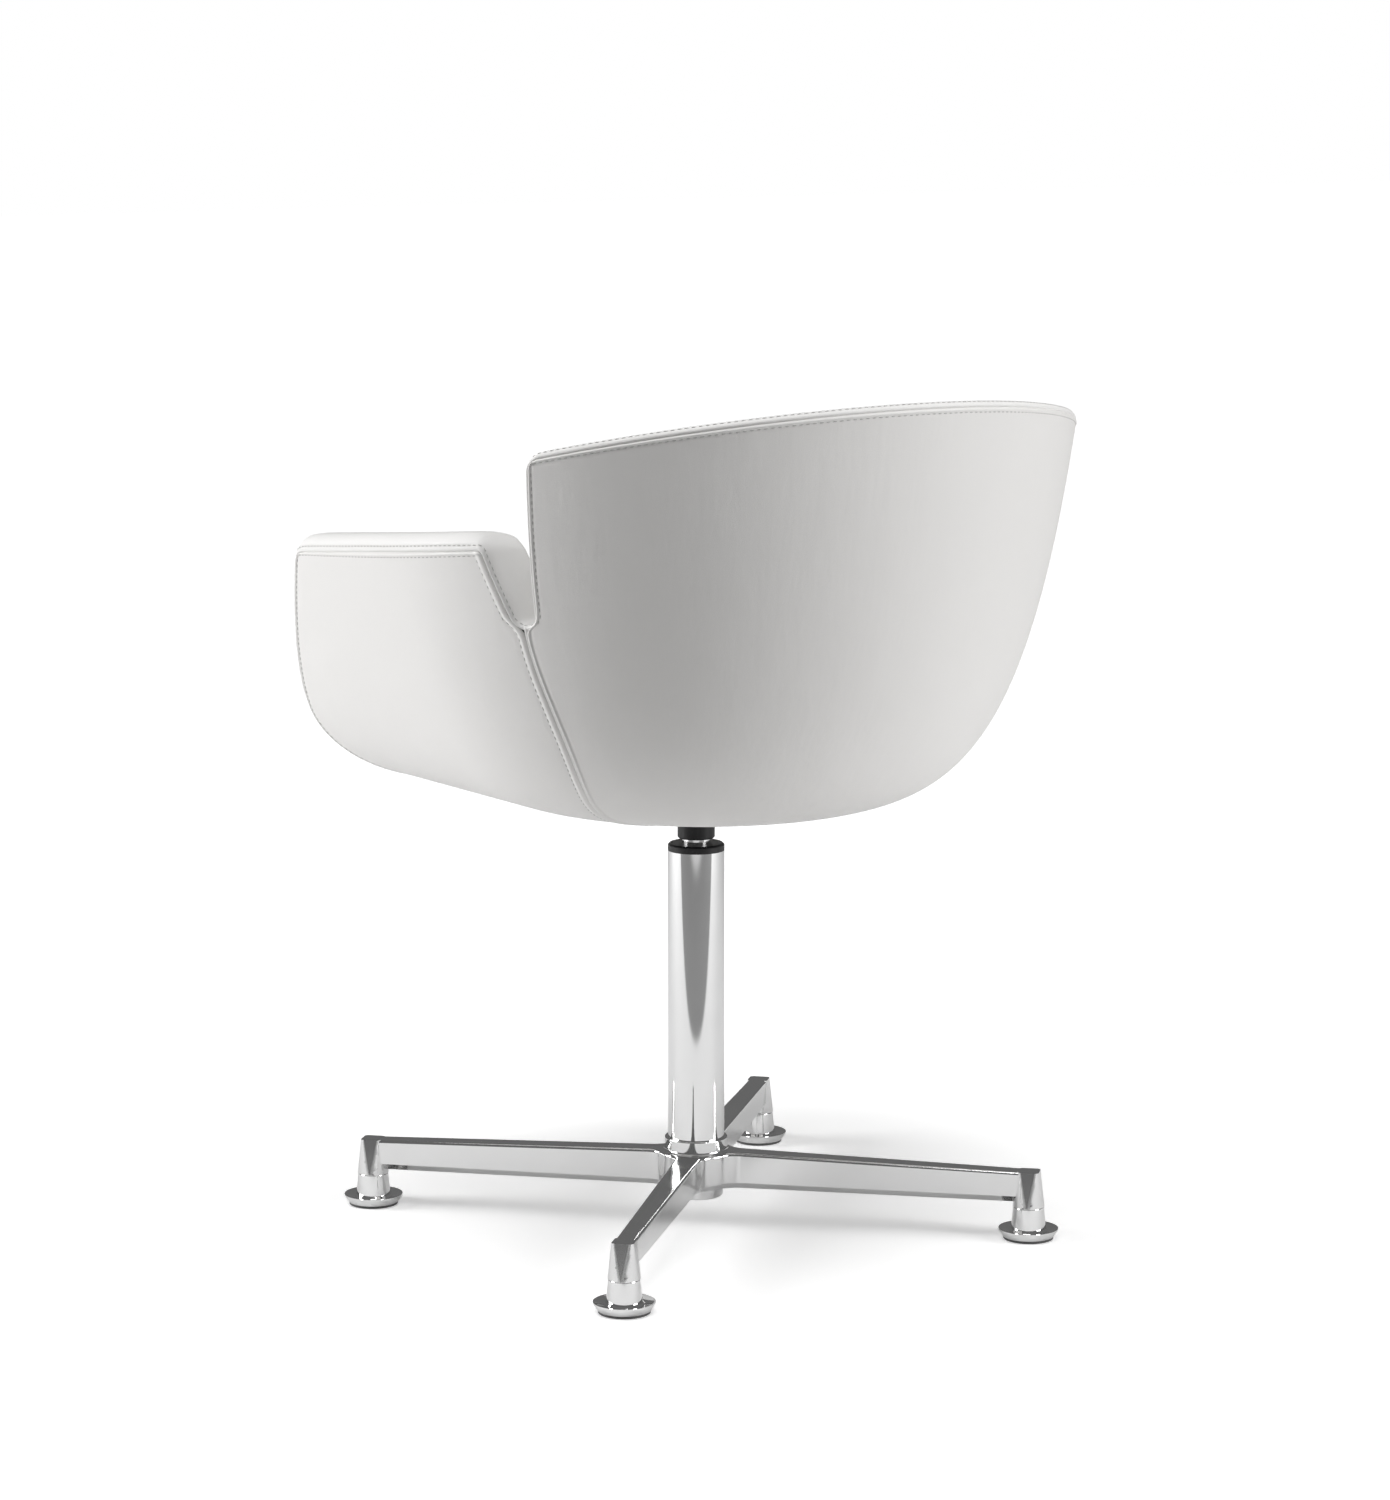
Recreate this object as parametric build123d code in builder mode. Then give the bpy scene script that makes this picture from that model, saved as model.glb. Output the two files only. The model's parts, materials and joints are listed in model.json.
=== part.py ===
from build123d import *
import os
from math import cos, radians, sin, tan

# A leather tub armchair that swivels on a fixed-height column and a cast four-arm base.
# Millimetres, +Z up. The column axis is at x = y = 0, the floor at z = 0.
# The sitter faces -Y, and the sitter's left is +X.

# Fits and gaps
running_clearance = 0.05
soft_gap = 0.3
face_gap = 0.1

# Cast base
arm_count = 4
arm_first_angle = 45.0
foot_circle_r = 298.0
arm_bottom_z = 33.0
arm_root_top_z = 66.0
arm_tip_top_z = 60.5
arm_root_width = 23.0
arm_tip_width = 18.0
arm_edge_fillet = 2.5
arm_lower_chamfer = 6.0
hub_r = 33.5
hub_fillet = 18.0
hub_ring_wall = 3.0
hub_ring_foot = 1.9
hub_ring_edge = 1.2
hub_ring_top_z = 78.0
hub_floor_top_z = 50.0
hub_boss_r = 24.0
hub_boss_bottom_z = 24.0
tip_boss_bottom_d = 28.0
tip_boss_bottom_z = 29.0
tip_boss_corner = 3.5
tip_boss_flare = 1.0

# Column
tube_d = 50.0
tube_wall = 2.5
tube_top_z = 336.0
spindle_d = 25.0
journal_d = 16.0
end_plug_t = 16.0
end_screw_circle_d = 36.0
end_screw_d = 5.0
end_screw_head_d = 8.5
end_screw_head_t = 5.0
end_screw_count = 4
end_screw_grip = 8.0
end_screw_bite = 10.0
bearing_washer_t = 2.5
bearing_outer_d = 38.0
bearing_ball_d = 4.0
bearing_ball_count = 10
bearing_cage_t = 2.0
guide_bush_height = 26.0
guide_bush_z = 120.0
collar_flange_t = 6.5
collar_spigot = 28.0
collar_edge = 1.5
retainer_t = 1.6
retainer_d = 22.0
clip_t = 1.2
clip_d = 20.0
clip_opening = 9.0
clip_groove_depth = 1.2

# Seat carrier under the tub
sleeve_d = 33.0
sleeve_bottom_z = 347.0
sleeve_edge = 1.0
plate_size = 170.0
plate_t = 4.0
plate_corner_r = 30.0
plate_boss_d = 62.0
plate_boss_t = 5.0
plate_bolt_spacing = 120.0
plate_bolt_d = 8.0
plate_bolt_head_d = 14.0
plate_bolt_head_t = 4.5
tee_nut_barrel_d = 11.0
tee_nut_flange_d = 24.0
tee_nut_flange_t = 1.2

# Glides
glide_pad_d = 44.0
glide_pad_margin = 0.5
glide_pad_t = 2.4
glide_disc_d = 52.5
glide_rim_z = 9.4
glide_rim_t = 1.4
glide_disc_hub_z = 9.5
glide_dish_depth = 1.8
glide_neck_bottom_d = 31.0
glide_neck_top_d = 27.0
glide_neck_groove = 0.8
glide_stud_d = 10.0
glide_stud_engaged = 20.0
glide_spigot_d = 12.0
glide_spigot_t = 4.0

# Tub section: control points of one curve from the flat floor to the rim
tub_axis_y = 11.6
floor_z = 381.7
floor_r = 112.0
bilge_r = 231.8
bilge_z = 382.0
side_r = 289.2
side_z = 449.0
rim_r = 327.5
rim_overrun = 18.4
front_run = 330.0

# Layers of the tub wall, measured in from the outer face
cover_t = 4.0
core_t = 10.0
pad_floor_t = 30.0
pad_side_t = 30.0
pad_rim_t = 22.0
under_cover_r = 104.0

# Side outline of the tub, along the seam that edges the outer covers
back_rim_y = 325.0
back_rim_z = 745.1
back_rim_slope = 13.9
back_corner_r = 14.0
notch_rear_y = 157.6
notch_rear_drop = 22.8
notch_rear_lean = 7.3
notch_front_y = 128.7
notch_front_drop = 33.1
notch_front_lean = 15.0
notch_r = 12.0
arm_rear_corner_r = 5.0
arm_rim_z = 618.8
arm_rim_slope = 5.5
arm_front_corner_r = 22.0
front_edge_y = -177.0
front_edge_z = 594.0
front_edge_lean = 27.3
front_toe_r = 50.0

# How far the leather bands stand out beyond that seam, and how round they are
back_band_rise = 7.0
notch_band_rise = 5.0
arm_band_rise = 16.0
front_band_rise = 6.0
band_round = 9.0
front_band_half_width = 150.0

# Side seam between the back cover and the side covers, in side view
seam_top_y = 138.5
seam_top_drop = 52.8
seam_belly_y = 143.5
seam_belly_drop = 111.8
seam_low_y = 128.0
seam_low_z = 425.0
seam_floor_y = 92.0

# Seat cushion
cushion_crown_z = 462.0
cushion_edge_z = 446.0
cushion_draw_in = 10.0
cushion_crown_inset = 70.0
cushion_front_inset = 12.0

# How far cutting shapes go beyond the tub
reach = 420.0
overrun = 1.0
os.makedirs("parts", exist_ok=True)


def save(builder, name):
    """Label a finished piece and write it under the same name."""
    builder.part.label = name
    export_step(builder.part, f"parts/{name}.step")


def on_foot(index):
    """Plane at the floor under one arm tip, with its x axis along the arm."""
    angle = radians(arm_first_angle + index * 360.0 / arm_count)
    along = Vector(cos(angle), sin(angle), 0)
    return Plane(origin=along * foot_circle_r, x_dir=along, z_dir=(0, 0, 1))


# Levels that several pieces share
stud_bore_r = glide_stud_d / 2 + running_clearance
stud_top_z = tip_boss_bottom_z + glide_stud_engaged
tip_boss_top_d = arm_tip_width + tip_boss_flare
hub_ring_r = tube_d / 2 + hub_ring_wall
clip_access_r = retainer_d / 2 + soft_gap
end_screw_head_z = hub_floor_top_z - end_screw_grip
tube_bore_r = tube_d / 2 - tube_wall
fitted_r = tube_bore_r - running_clearance
spindle_bore_r = spindle_d / 2 + running_clearance
end_plug_top_z = hub_floor_top_z + end_plug_t
ball_z = end_plug_top_z + bearing_washer_t + bearing_ball_d / 2 + running_clearance
upper_washer_z = ball_z + bearing_ball_d / 2 + running_clearance
shoulder_z = upper_washer_z + bearing_washer_t
bearing_bore_r = journal_d / 2 + soft_gap
ball_circle_r = (bearing_bore_r + bearing_outer_d / 2) / 2
retainer_top_z = hub_floor_top_z - face_gap
clip_top_z = retainer_top_z - retainer_t
journal_bottom_z = clip_top_z - 3 * clip_t
plate_bottom_z = floor_z - plate_t
spindle_top_z = plate_bottom_z - plate_boss_t - face_gap
rim_z = back_rim_z + rim_overrun
notch_rear_z = arm_rim_z - notch_rear_drop
notch_front_z = arm_rim_z - notch_front_drop
seam_top_z = arm_rim_z - seam_top_drop
seam_belly_z = arm_rim_z - seam_belly_drop
core_out = cover_t + soft_gap
core_in = core_out + core_t
pad_out = core_in + soft_gap
core_floor_z = floor_z + core_in
tee_nut_flange_z = core_floor_z - tee_nut_flange_t

# Base spider: a plan outline raised to the arms' height, cut to a gentle slope along the top
with BuildPart() as base_spider:
    with BuildSketch(Plane.XY.offset(arm_bottom_z)) as plan:
        Circle(hub_r)
        with PolarLocations(0, arm_count, start_angle=arm_first_angle):
            Polygon(
                (0, -arm_root_width / 2),
                (foot_circle_r, -arm_tip_width / 2),
                (foot_circle_r, arm_tip_width / 2),
                (0, arm_root_width / 2),
                align=None,
            )
        fillet(plan.vertices().sort_by_distance((0, 0, arm_bottom_z))[: 2 * arm_count], hub_fillet)
    extrude(amount=arm_root_top_z - arm_bottom_z)
    with BuildSketch(Plane.XZ):
        Polygon(
            (0, arm_bottom_z),
            (2 * foot_circle_r, arm_bottom_z),
            (2 * foot_circle_r, arm_tip_top_z),
            (foot_circle_r, arm_tip_top_z),
            (hub_ring_r, arm_root_top_z),
            (0, arm_root_top_z),
            align=None,
        )
    revolve(axis=Axis.Z, mode=Mode.INTERSECT)
    underside = base_spider.faces().sort_by(Axis.Z)[0]
    chamfer(underside.outer_wire().edges(), arm_lower_chamfer)
    top_face = base_spider.faces().filter_by(GeomType.CONE).sort_by(SortBy.AREA)[-1]
    fillet(top_face.edges().filter_by(GeomType.CIRCLE, reverse=True), arm_edge_fillet)
    # Down-turned tips: square at the top, round where the glide's neck meets them
    for index in range(arm_count):
        with BuildSketch(on_foot(index).offset(tip_boss_bottom_z)):
            RectangleRounded(tip_boss_bottom_d, tip_boss_bottom_d, tip_boss_bottom_d / 2 - face_gap)
        with BuildSketch(on_foot(index).offset(arm_tip_top_z)):
            RectangleRounded(tip_boss_top_d, tip_boss_top_d, tip_boss_corner)
        loft()
    # Hub: socket ring above, boss below
    with BuildSketch(Plane.XY.offset(arm_bottom_z)):
        Circle(hub_ring_r)
    extrude(amount=hub_ring_top_z - arm_bottom_z)
    ring_edges = base_spider.edges().filter_by(GeomType.CIRCLE)
    ring_edges = ring_edges.filter_by(lambda edge: abs(edge.radius - hub_ring_r) < face_gap)
    fillet(ring_edges.group_by(Axis.Z)[-2], hub_ring_foot)
    fillet(base_spider.edges().group_by(Axis.Z)[-1], hub_ring_edge)
    with BuildSketch(Plane.XY.offset(hub_boss_bottom_z)):
        Circle(hub_boss_r)
    extrude(amount=hub_floor_top_z - hub_boss_bottom_z)
    chamfer(base_spider.edges().group_by(Axis.Z)[0], hub_ring_edge)
    # Column socket and access to the clip
    with BuildSketch(Plane.XY.offset(hub_floor_top_z)):
        Circle(tube_d / 2 + running_clearance)
    extrude(amount=hub_ring_top_z, mode=Mode.SUBTRACT)
    with BuildSketch():
        Circle(clip_access_r)
    extrude(amount=hub_ring_top_z, mode=Mode.SUBTRACT)
    # Screw holes, with deep counterbores from below
    with BuildSketch():
        with PolarLocations(end_screw_circle_d / 2, end_screw_count):
            Circle(end_screw_d / 2 + running_clearance)
    extrude(amount=hub_ring_top_z, mode=Mode.SUBTRACT)
    with BuildSketch():
        with PolarLocations(end_screw_circle_d / 2, end_screw_count):
            Circle(end_screw_head_d / 2 + soft_gap)
    extrude(amount=end_screw_head_z, mode=Mode.SUBTRACT)
    # Tapped bores for the glides
    for index in range(arm_count):
        with BuildSketch(on_foot(index)):
            Circle(stud_bore_r)
        extrude(amount=stud_top_z + face_gap, mode=Mode.SUBTRACT)

save(base_spider, "base_spider")

with BuildPart() as column_tube:
    with BuildSketch(Plane.XY.offset(hub_floor_top_z)):
        Circle(tube_d / 2)
        Circle(tube_bore_r, mode=Mode.SUBTRACT)
    extrude(amount=tube_top_z - hub_floor_top_z)

save(column_tube, "column_tube")

with BuildPart() as column_end_plug:
    with BuildSketch(Plane.XY.offset(hub_floor_top_z)):
        Circle(fitted_r)
        Circle(journal_d / 2 + running_clearance, mode=Mode.SUBTRACT)
    extrude(amount=end_plug_t)
    with BuildSketch(Plane.XY.offset(hub_floor_top_z)):
        with PolarLocations(end_screw_circle_d / 2, end_screw_count):
            Circle(end_screw_d / 2 + running_clearance)
    extrude(amount=end_screw_bite + face_gap, mode=Mode.SUBTRACT)

save(column_end_plug, "column_end_plug")

with BuildPart() as column_screws:
    with BuildSketch(Plane.XY.offset(end_screw_head_z - end_screw_head_t)):
        with PolarLocations(end_screw_circle_d / 2, end_screw_count):
            Circle(end_screw_head_d / 2)
    extrude(amount=end_screw_head_t)
    with BuildSketch(Plane.XY.offset(end_screw_head_z)):
        with PolarLocations(end_screw_circle_d / 2, end_screw_count):
            Circle(end_screw_d / 2)
    extrude(amount=end_screw_grip + end_screw_bite)
    with BuildSketch(Plane.XY.offset(end_screw_head_z - end_screw_head_t)):
        with PolarLocations(end_screw_circle_d / 2, end_screw_count):
            RegularPolygon(end_screw_d / 2, 6)
    extrude(amount=end_screw_head_t / 2, mode=Mode.SUBTRACT)

save(column_screws, "column_screws")

with BuildPart() as bearing_lower_washer:
    with BuildSketch(Plane.XY.offset(end_plug_top_z)):
        Circle(bearing_outer_d / 2)
        Circle(bearing_bore_r, mode=Mode.SUBTRACT)
    extrude(amount=bearing_washer_t)

save(bearing_lower_washer, "bearing_lower_washer")

with BuildPart() as bearing_upper_washer:
    with BuildSketch(Plane.XY.offset(upper_washer_z)):
        Circle(bearing_outer_d / 2)
        Circle(bearing_bore_r, mode=Mode.SUBTRACT)
    extrude(amount=bearing_washer_t)

save(bearing_upper_washer, "bearing_upper_washer")

with BuildPart() as bearing_cage:
    with BuildSketch(Plane.XY.offset(ball_z - bearing_cage_t / 2)):
        Circle(bearing_outer_d / 2)
        Circle(bearing_bore_r, mode=Mode.SUBTRACT)
        with PolarLocations(ball_circle_r, bearing_ball_count):
            Circle(bearing_ball_d / 2 + running_clearance, mode=Mode.SUBTRACT)
    extrude(amount=bearing_cage_t)

save(bearing_cage, "bearing_cage")

with BuildPart() as bearing_balls:
    with Locations(Plane.XY.offset(ball_z)):
        with PolarLocations(ball_circle_r, bearing_ball_count):
            Sphere(bearing_ball_d / 2)

save(bearing_balls, "bearing_balls")

with BuildPart() as guide_bush:
    with BuildSketch(Plane.XY.offset(guide_bush_z)):
        Circle(fitted_r)
        Circle(spindle_bore_r, mode=Mode.SUBTRACT)
    extrude(amount=guide_bush_height)

save(guide_bush, "guide_bush")

# Collar: a spigot inside the tube and a flange that caps it
with BuildPart() as column_collar:
    with BuildSketch(Plane.XZ):
        Polygon(
            (spindle_bore_r, tube_top_z - collar_spigot),
            (fitted_r, tube_top_z - collar_spigot),
            (fitted_r, tube_top_z),
            (tube_d / 2, tube_top_z),
            (tube_d / 2, tube_top_z + collar_flange_t - collar_edge),
            (tube_d / 2 - collar_edge, tube_top_z + collar_flange_t),
            (spindle_bore_r, tube_top_z + collar_flange_t),
            align=None,
        )
    revolve(axis=Axis.Z)

save(column_collar, "column_collar")

# Spindle: a long rod with a shoulder on the bearing and a grooved journal below it
with BuildPart() as spindle:
    with BuildSketch(Plane.XZ):
        Polygon(
            (0, journal_bottom_z),
            (journal_d / 2, journal_bottom_z),
            (journal_d / 2, clip_top_z - clip_t - face_gap),
            (journal_d / 2 - clip_groove_depth, clip_top_z - clip_t - face_gap),
            (journal_d / 2 - clip_groove_depth, clip_top_z),
            (journal_d / 2, clip_top_z),
            (journal_d / 2, shoulder_z),
            (spindle_d / 2, shoulder_z),
            (spindle_d / 2, spindle_top_z),
            (0, spindle_top_z),
            align=None,
        )
    revolve(axis=Axis.Z)

save(spindle, "spindle")

with BuildPart() as retainer_washer:
    with BuildSketch(Plane.XY.offset(clip_top_z)):
        Circle(retainer_d / 2)
        Circle(journal_d / 2 + running_clearance, mode=Mode.SUBTRACT)
    extrude(amount=retainer_t)

save(retainer_washer, "retainer_washer")

with BuildPart() as retainer_clip:
    with BuildSketch(Plane.XY.offset(clip_top_z - clip_t)):
        Circle(clip_d / 2)
        Circle(journal_d / 2 - clip_groove_depth + running_clearance, mode=Mode.SUBTRACT)
        with Locations((clip_d / 2, 0)):
            Rectangle(clip_d, clip_opening, mode=Mode.SUBTRACT)
    extrude(amount=clip_t)

save(retainer_clip, "retainer_clip")

# Seat carrier: a plate with a boss, and the black sleeve that takes the spindle
with BuildPart() as seat_plate:
    with BuildSketch(Plane.XY.offset(plate_bottom_z)):
        RectangleRounded(plate_size, plate_size, plate_corner_r)
        with GridLocations(plate_bolt_spacing, plate_bolt_spacing, 2, 2):
            Circle(plate_bolt_d / 2 + soft_gap, mode=Mode.SUBTRACT)
    extrude(amount=plate_t)
    with BuildSketch(Plane.XY.offset(plate_bottom_z - plate_boss_t)):
        Circle(plate_boss_d / 2)
    extrude(amount=plate_boss_t)

save(seat_plate, "seat_plate")

with BuildPart() as seat_sleeve:
    with BuildSketch(Plane.XY.offset(sleeve_bottom_z)):
        Circle(sleeve_d / 2)
        Circle(spindle_bore_r, mode=Mode.SUBTRACT)
    extrude(amount=plate_bottom_z - plate_boss_t - sleeve_bottom_z)
    rim = seat_sleeve.faces().sort_by(Axis.Z)[0].outer_wire()
    chamfer(rim.edges(), sleeve_edge)

save(seat_sleeve, "seat_sleeve")

with BuildPart() as plate_bolts:
    with BuildSketch(Plane.XY.offset(plate_bottom_z - plate_bolt_head_t)):
        with GridLocations(plate_bolt_spacing, plate_bolt_spacing, 2, 2):
            Circle(plate_bolt_head_d / 2)
    extrude(amount=plate_bolt_head_t)
    fillet(plate_bolts.faces().sort_by(Axis.Z)[:4].edges(), plate_bolt_head_t / 2)
    with BuildSketch(Plane.XY.offset(plate_bottom_z - plate_bolt_head_t)):
        with GridLocations(plate_bolt_spacing, plate_bolt_spacing, 2, 2):
            RegularPolygon(plate_bolt_d / 3, 6)
    extrude(amount=plate_bolt_head_t / 2, mode=Mode.SUBTRACT)
    with BuildSketch(Plane.XY.offset(plate_bottom_z)):
        with GridLocations(plate_bolt_spacing, plate_bolt_spacing, 2, 2):
            Circle(plate_bolt_d / 2)
    extrude(amount=core_floor_z - plate_bottom_z)

save(plate_bolts, "plate_bolts")

with BuildPart() as tee_nuts:
    with BuildSketch(Plane.XY.offset(floor_z + core_out)):
        with GridLocations(plate_bolt_spacing, plate_bolt_spacing, 2, 2):
            Circle(tee_nut_barrel_d / 2)
            Circle(plate_bolt_d / 2 + running_clearance, mode=Mode.SUBTRACT)
    extrude(amount=core_t)
    with BuildSketch(Plane.XY.offset(tee_nut_flange_z)):
        with GridLocations(plate_bolt_spacing, plate_bolt_spacing, 2, 2):
            Circle(tee_nut_flange_d / 2)
            Circle(plate_bolt_d / 2 + running_clearance, mode=Mode.SUBTRACT)
    extrude(amount=tee_nut_flange_t)

save(tee_nuts, "tee_nuts")

# Glides: sole, saucer, and neck with its stud, one of each under every arm
glide_neck_bottom_z = glide_disc_hub_z + face_gap
glide_neck_top_z = tip_boss_bottom_z - face_gap
glide_base_r = glide_pad_d / 2 + glide_pad_margin
for index in range(arm_count):
    foot = on_foot(index)
    upright = Plane(origin=foot.origin, x_dir=foot.x_dir, z_dir=foot.y_dir * -1)
    axis = Axis(foot.origin, (0, 0, 1))
    with BuildPart() as glide_pad:
        with BuildSketch(foot):
            Circle(glide_pad_d / 2)
        extrude(amount=glide_pad_t)
        fillet(glide_pad.faces().sort_by(Axis.Z)[0].edges(), glide_pad_t / 4)
    save(glide_pad, f"glide_pad_{index + 1}")
    with BuildPart() as glide_disc:
        with BuildSketch(upright):
            with BuildLine():
                Polyline(
                    (0, glide_pad_t),
                    (glide_base_r, glide_pad_t),
                    (glide_disc_d / 2, glide_rim_z - glide_rim_t),
                    (glide_disc_d / 2, glide_rim_z),
                    (glide_disc_d / 2 - glide_rim_t, glide_rim_z),
                    (glide_neck_bottom_d / 2 + glide_rim_t, glide_rim_z - glide_dish_depth),
                    (glide_neck_bottom_d / 2, glide_disc_hub_z),
                    (glide_spigot_d / 2 + running_clearance, glide_disc_hub_z),
                    (glide_spigot_d / 2 + running_clearance, glide_disc_hub_z - glide_spigot_t),
                    (0, glide_disc_hub_z - glide_spigot_t),
                    close=True,
                )
            make_face()
        revolve(axis=axis)
    save(glide_disc, f"glide_disc_{index + 1}")
    with BuildPart() as glide_neck:
        with BuildSketch(upright):
            with BuildLine():
                Polyline(
                    (0, glide_disc_hub_z - glide_spigot_t + face_gap),
                    (glide_spigot_d / 2, glide_disc_hub_z - glide_spigot_t + face_gap),
                    (glide_spigot_d / 2, glide_neck_bottom_z),
                    (glide_neck_bottom_d / 2, glide_neck_bottom_z),
                    (glide_neck_top_d / 2, glide_neck_top_z - glide_neck_groove),
                    (glide_neck_top_d / 2 - glide_neck_groove, glide_neck_top_z - glide_neck_groove),
                    (glide_neck_top_d / 2 - glide_neck_groove, glide_neck_top_z),
                    (glide_stud_d / 2, glide_neck_top_z),
                    (glide_stud_d / 2, stud_top_z),
                    (0, stud_top_z),
                    close=True,
                )
            make_face()
        revolve(axis=axis)
    save(glide_neck, f"glide_neck_{index + 1}")

# The tub: one wall section, spun round the rear half and run straight forward for the arms
tub_axis = Axis((0, tub_axis_y, 0), (0, 0, 1))
tub_plane = Plane(origin=(0, tub_axis_y, 0), x_dir=(1, 0, 0), z_dir=(0, -1, 0))
outer_points = [
    Vector(floor_r, floor_z),
    Vector(bilge_r, bilge_z),
    Vector(side_r, side_z),
    Vector(rim_r, rim_z),
]


def inward(leg_start, leg_end):
    """Unit normal of one leg of the control polygon, pointing into the tub."""
    leg = (leg_end - leg_start).normalized()
    return Vector(-leg.Y, leg.X)


def section_curve(at_floor, at_side, at_rim):
    """Control points of the tub section, moved in by a depth at floor, side and rim."""
    low, slant, high = [inward(a, b) for a, b in zip(outer_points, outer_points[1:])]
    return [
        outer_points[0] + low * at_floor,
        outer_points[1] + (low + slant) * (at_floor / (1 + low.dot(slant))),
        outer_points[2] + (slant + high) * (at_side / (1 + slant.dot(high))),
        outer_points[3] + high * at_rim,
    ]


def even_curve(depth):
    """Tub section at the same depth all along."""
    return section_curve(depth, depth, depth)


def radius_at(points, height):
    """Radius of a tub section at a height, found by halving the curve's range."""
    low, high = 0.0, 1.0
    for _ in range(50):
        t = (low + high) / 2
        weights = [(1 - t) ** 3, 3 * t * (1 - t) ** 2, 3 * t**2 * (1 - t), t**3]
        place = sum((p * w for p, w in zip(points, weights)), Vector(0, 0))
        if place.Y < height:
            low = t
        else:
            high = t
    return place.X


def wall_half(outer, inner, start_r):
    """Right half of the wall between two sections, whose floor starts at a radius."""
    with BuildSketch(tub_plane) as half:
        with BuildLine():
            Line((start_r, outer[0].Y), outer[0])
            Bezier(*outer)
            Line(outer[3], inner[3])
            Bezier(*inner)
            Line(inner[0], (start_r, inner[0].Y))
            Line((start_r, inner[0].Y), (start_r, outer[0].Y))
        make_face()
    return half.sketch


def cross(first, second):
    """Meeting point of two lines of the side outline, each moved out by its own rise."""
    points = []
    for y, z, angle, rise in (first, second):
        way = Vector(cos(radians(angle)), sin(radians(angle)))
        points.append((Vector(y, z) + Vector(way.Y, -way.X) * rise, way))
    (a, u), (b, v) = points
    gap = b - a
    along = (gap.X * v.Y - gap.Y * v.X) / (u.X * v.Y - u.Y * v.X)
    return a + u * along


def side_outline(back_rise, notch_rise, arm_rise, front_rise):
    """Side view of the tub out to its seam, or beyond it by the rises given."""
    bottom = (0, floor_z - overrun, 0, 0)
    rear = (reach, 0, 90, 0)
    rim = (back_rim_y, back_rim_z, 180 + back_rim_slope, back_rise)
    notch_rear = (notch_rear_y, notch_rear_z, 270 - notch_rear_lean, notch_rise)
    notch_front = (notch_front_y, notch_front_z, 90 + notch_front_lean, notch_rise)
    arm_rim = (0, arm_rim_z, 180 + arm_rim_slope, arm_rise)
    front = (front_edge_y, front_edge_z, 270 - front_edge_lean, front_rise)
    lines = [bottom, rear, rim, notch_rear, notch_front, arm_rim, front]
    corners = [cross(a, b) for a, b in zip(lines, lines[1:] + lines[:1])]
    radii = [0, 0, back_corner_r + back_rise, notch_r - notch_rise, arm_rear_corner_r + arm_rise]
    radii += [arm_front_corner_r + front_rise, front_toe_r]
    with BuildSketch(Plane.YZ) as outline:
        Polygon(*corners, align=None)
        for corner, radius in zip(corners, radii):
            if radius:
                fillet(outline.vertices().sort_by_distance((corner.X, corner.Y, 0))[0], radius)
    return outline.sketch


def rear_zone(shift):
    """Side view of all that lies behind the side seam, which is moved back by a shift."""
    with BuildSketch(Plane.YZ) as zone:
        with BuildLine():
            Spline(
                (seam_top_y + shift, seam_top_z),
                (seam_belly_y + shift, seam_belly_z),
                (seam_low_y + shift, seam_low_z),
                (seam_floor_y + shift, floor_z - overrun),
            )
            Polyline(
                (seam_floor_y + shift, floor_z - overrun),
                (reach, floor_z - overrun),
                (reach, 2 * reach),
                (seam_top_y + shift, 2 * reach),
                (seam_top_y + shift, seam_top_z),
            )
        make_face()
    return zone.sketch


def front_y(height):
    """Where the front edge lies at a height: a leaning line above, the round toe below."""
    lean = radians(front_edge_lean)
    toe_z = floor_z - overrun + front_toe_r
    line_y = front_edge_y - (front_edge_z - height) * tan(lean)
    toe_y = front_edge_y - (front_edge_z - toe_z) * tan(lean) + front_toe_r / cos(lean)
    if height > toe_z + front_toe_r * sin(lean):
        return line_y
    return toe_y - (front_toe_r**2 - (height - toe_z) ** 2) ** 0.5


outer_curve = even_curve(0)
cover_curve = even_curve(cover_t)
core_outer_curve = even_curve(core_out)
core_inner_curve = even_curve(core_in)
pad_outer_curve = even_curve(pad_out)
pad_curve = section_curve(pad_out + pad_floor_t, pad_out + pad_side_t, pad_out + pad_rim_t)
seam_outline = side_outline(0, 0, 0, 0)
panel_outline = side_outline(-soft_gap, -soft_gap, -soft_gap, -soft_gap)
band_outline = side_outline(back_band_rise, notch_band_rise, arm_band_rise, front_band_rise)
behind_seam = rear_zone(soft_gap / 2)
before_seam = rear_zone(-soft_gap / 2)

# Moulded shell, with holes for the tee nuts
with BuildPart() as shell_core:
    core_half = wall_half(core_outer_curve, core_inner_curve, 0)
    revolve(core_half, axis=tub_axis, revolution_arc=180)
    extrude(core_half, amount=front_run)
    extrude(mirror(core_half, about=Plane.YZ, mode=Mode.PRIVATE), amount=front_run, dir=(0, -1, 0))
    extrude(panel_outline, amount=reach, both=True, mode=Mode.INTERSECT)
    with BuildSketch(Plane.XY.offset(floor_z)):
        with GridLocations(plate_bolt_spacing, plate_bolt_spacing, 2, 2):
            Circle(tee_nut_barrel_d / 2 + running_clearance)
    extrude(amount=core_in, mode=Mode.SUBTRACT)
    with BuildSketch(Plane.XY.offset(tee_nut_flange_z)):
        with GridLocations(plate_bolt_spacing, plate_bolt_spacing, 2, 2):
            Circle(tee_nut_flange_d / 2 + running_clearance)
    extrude(amount=tee_nut_flange_t, mode=Mode.SUBTRACT)

save(shell_core, "shell_core")

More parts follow.
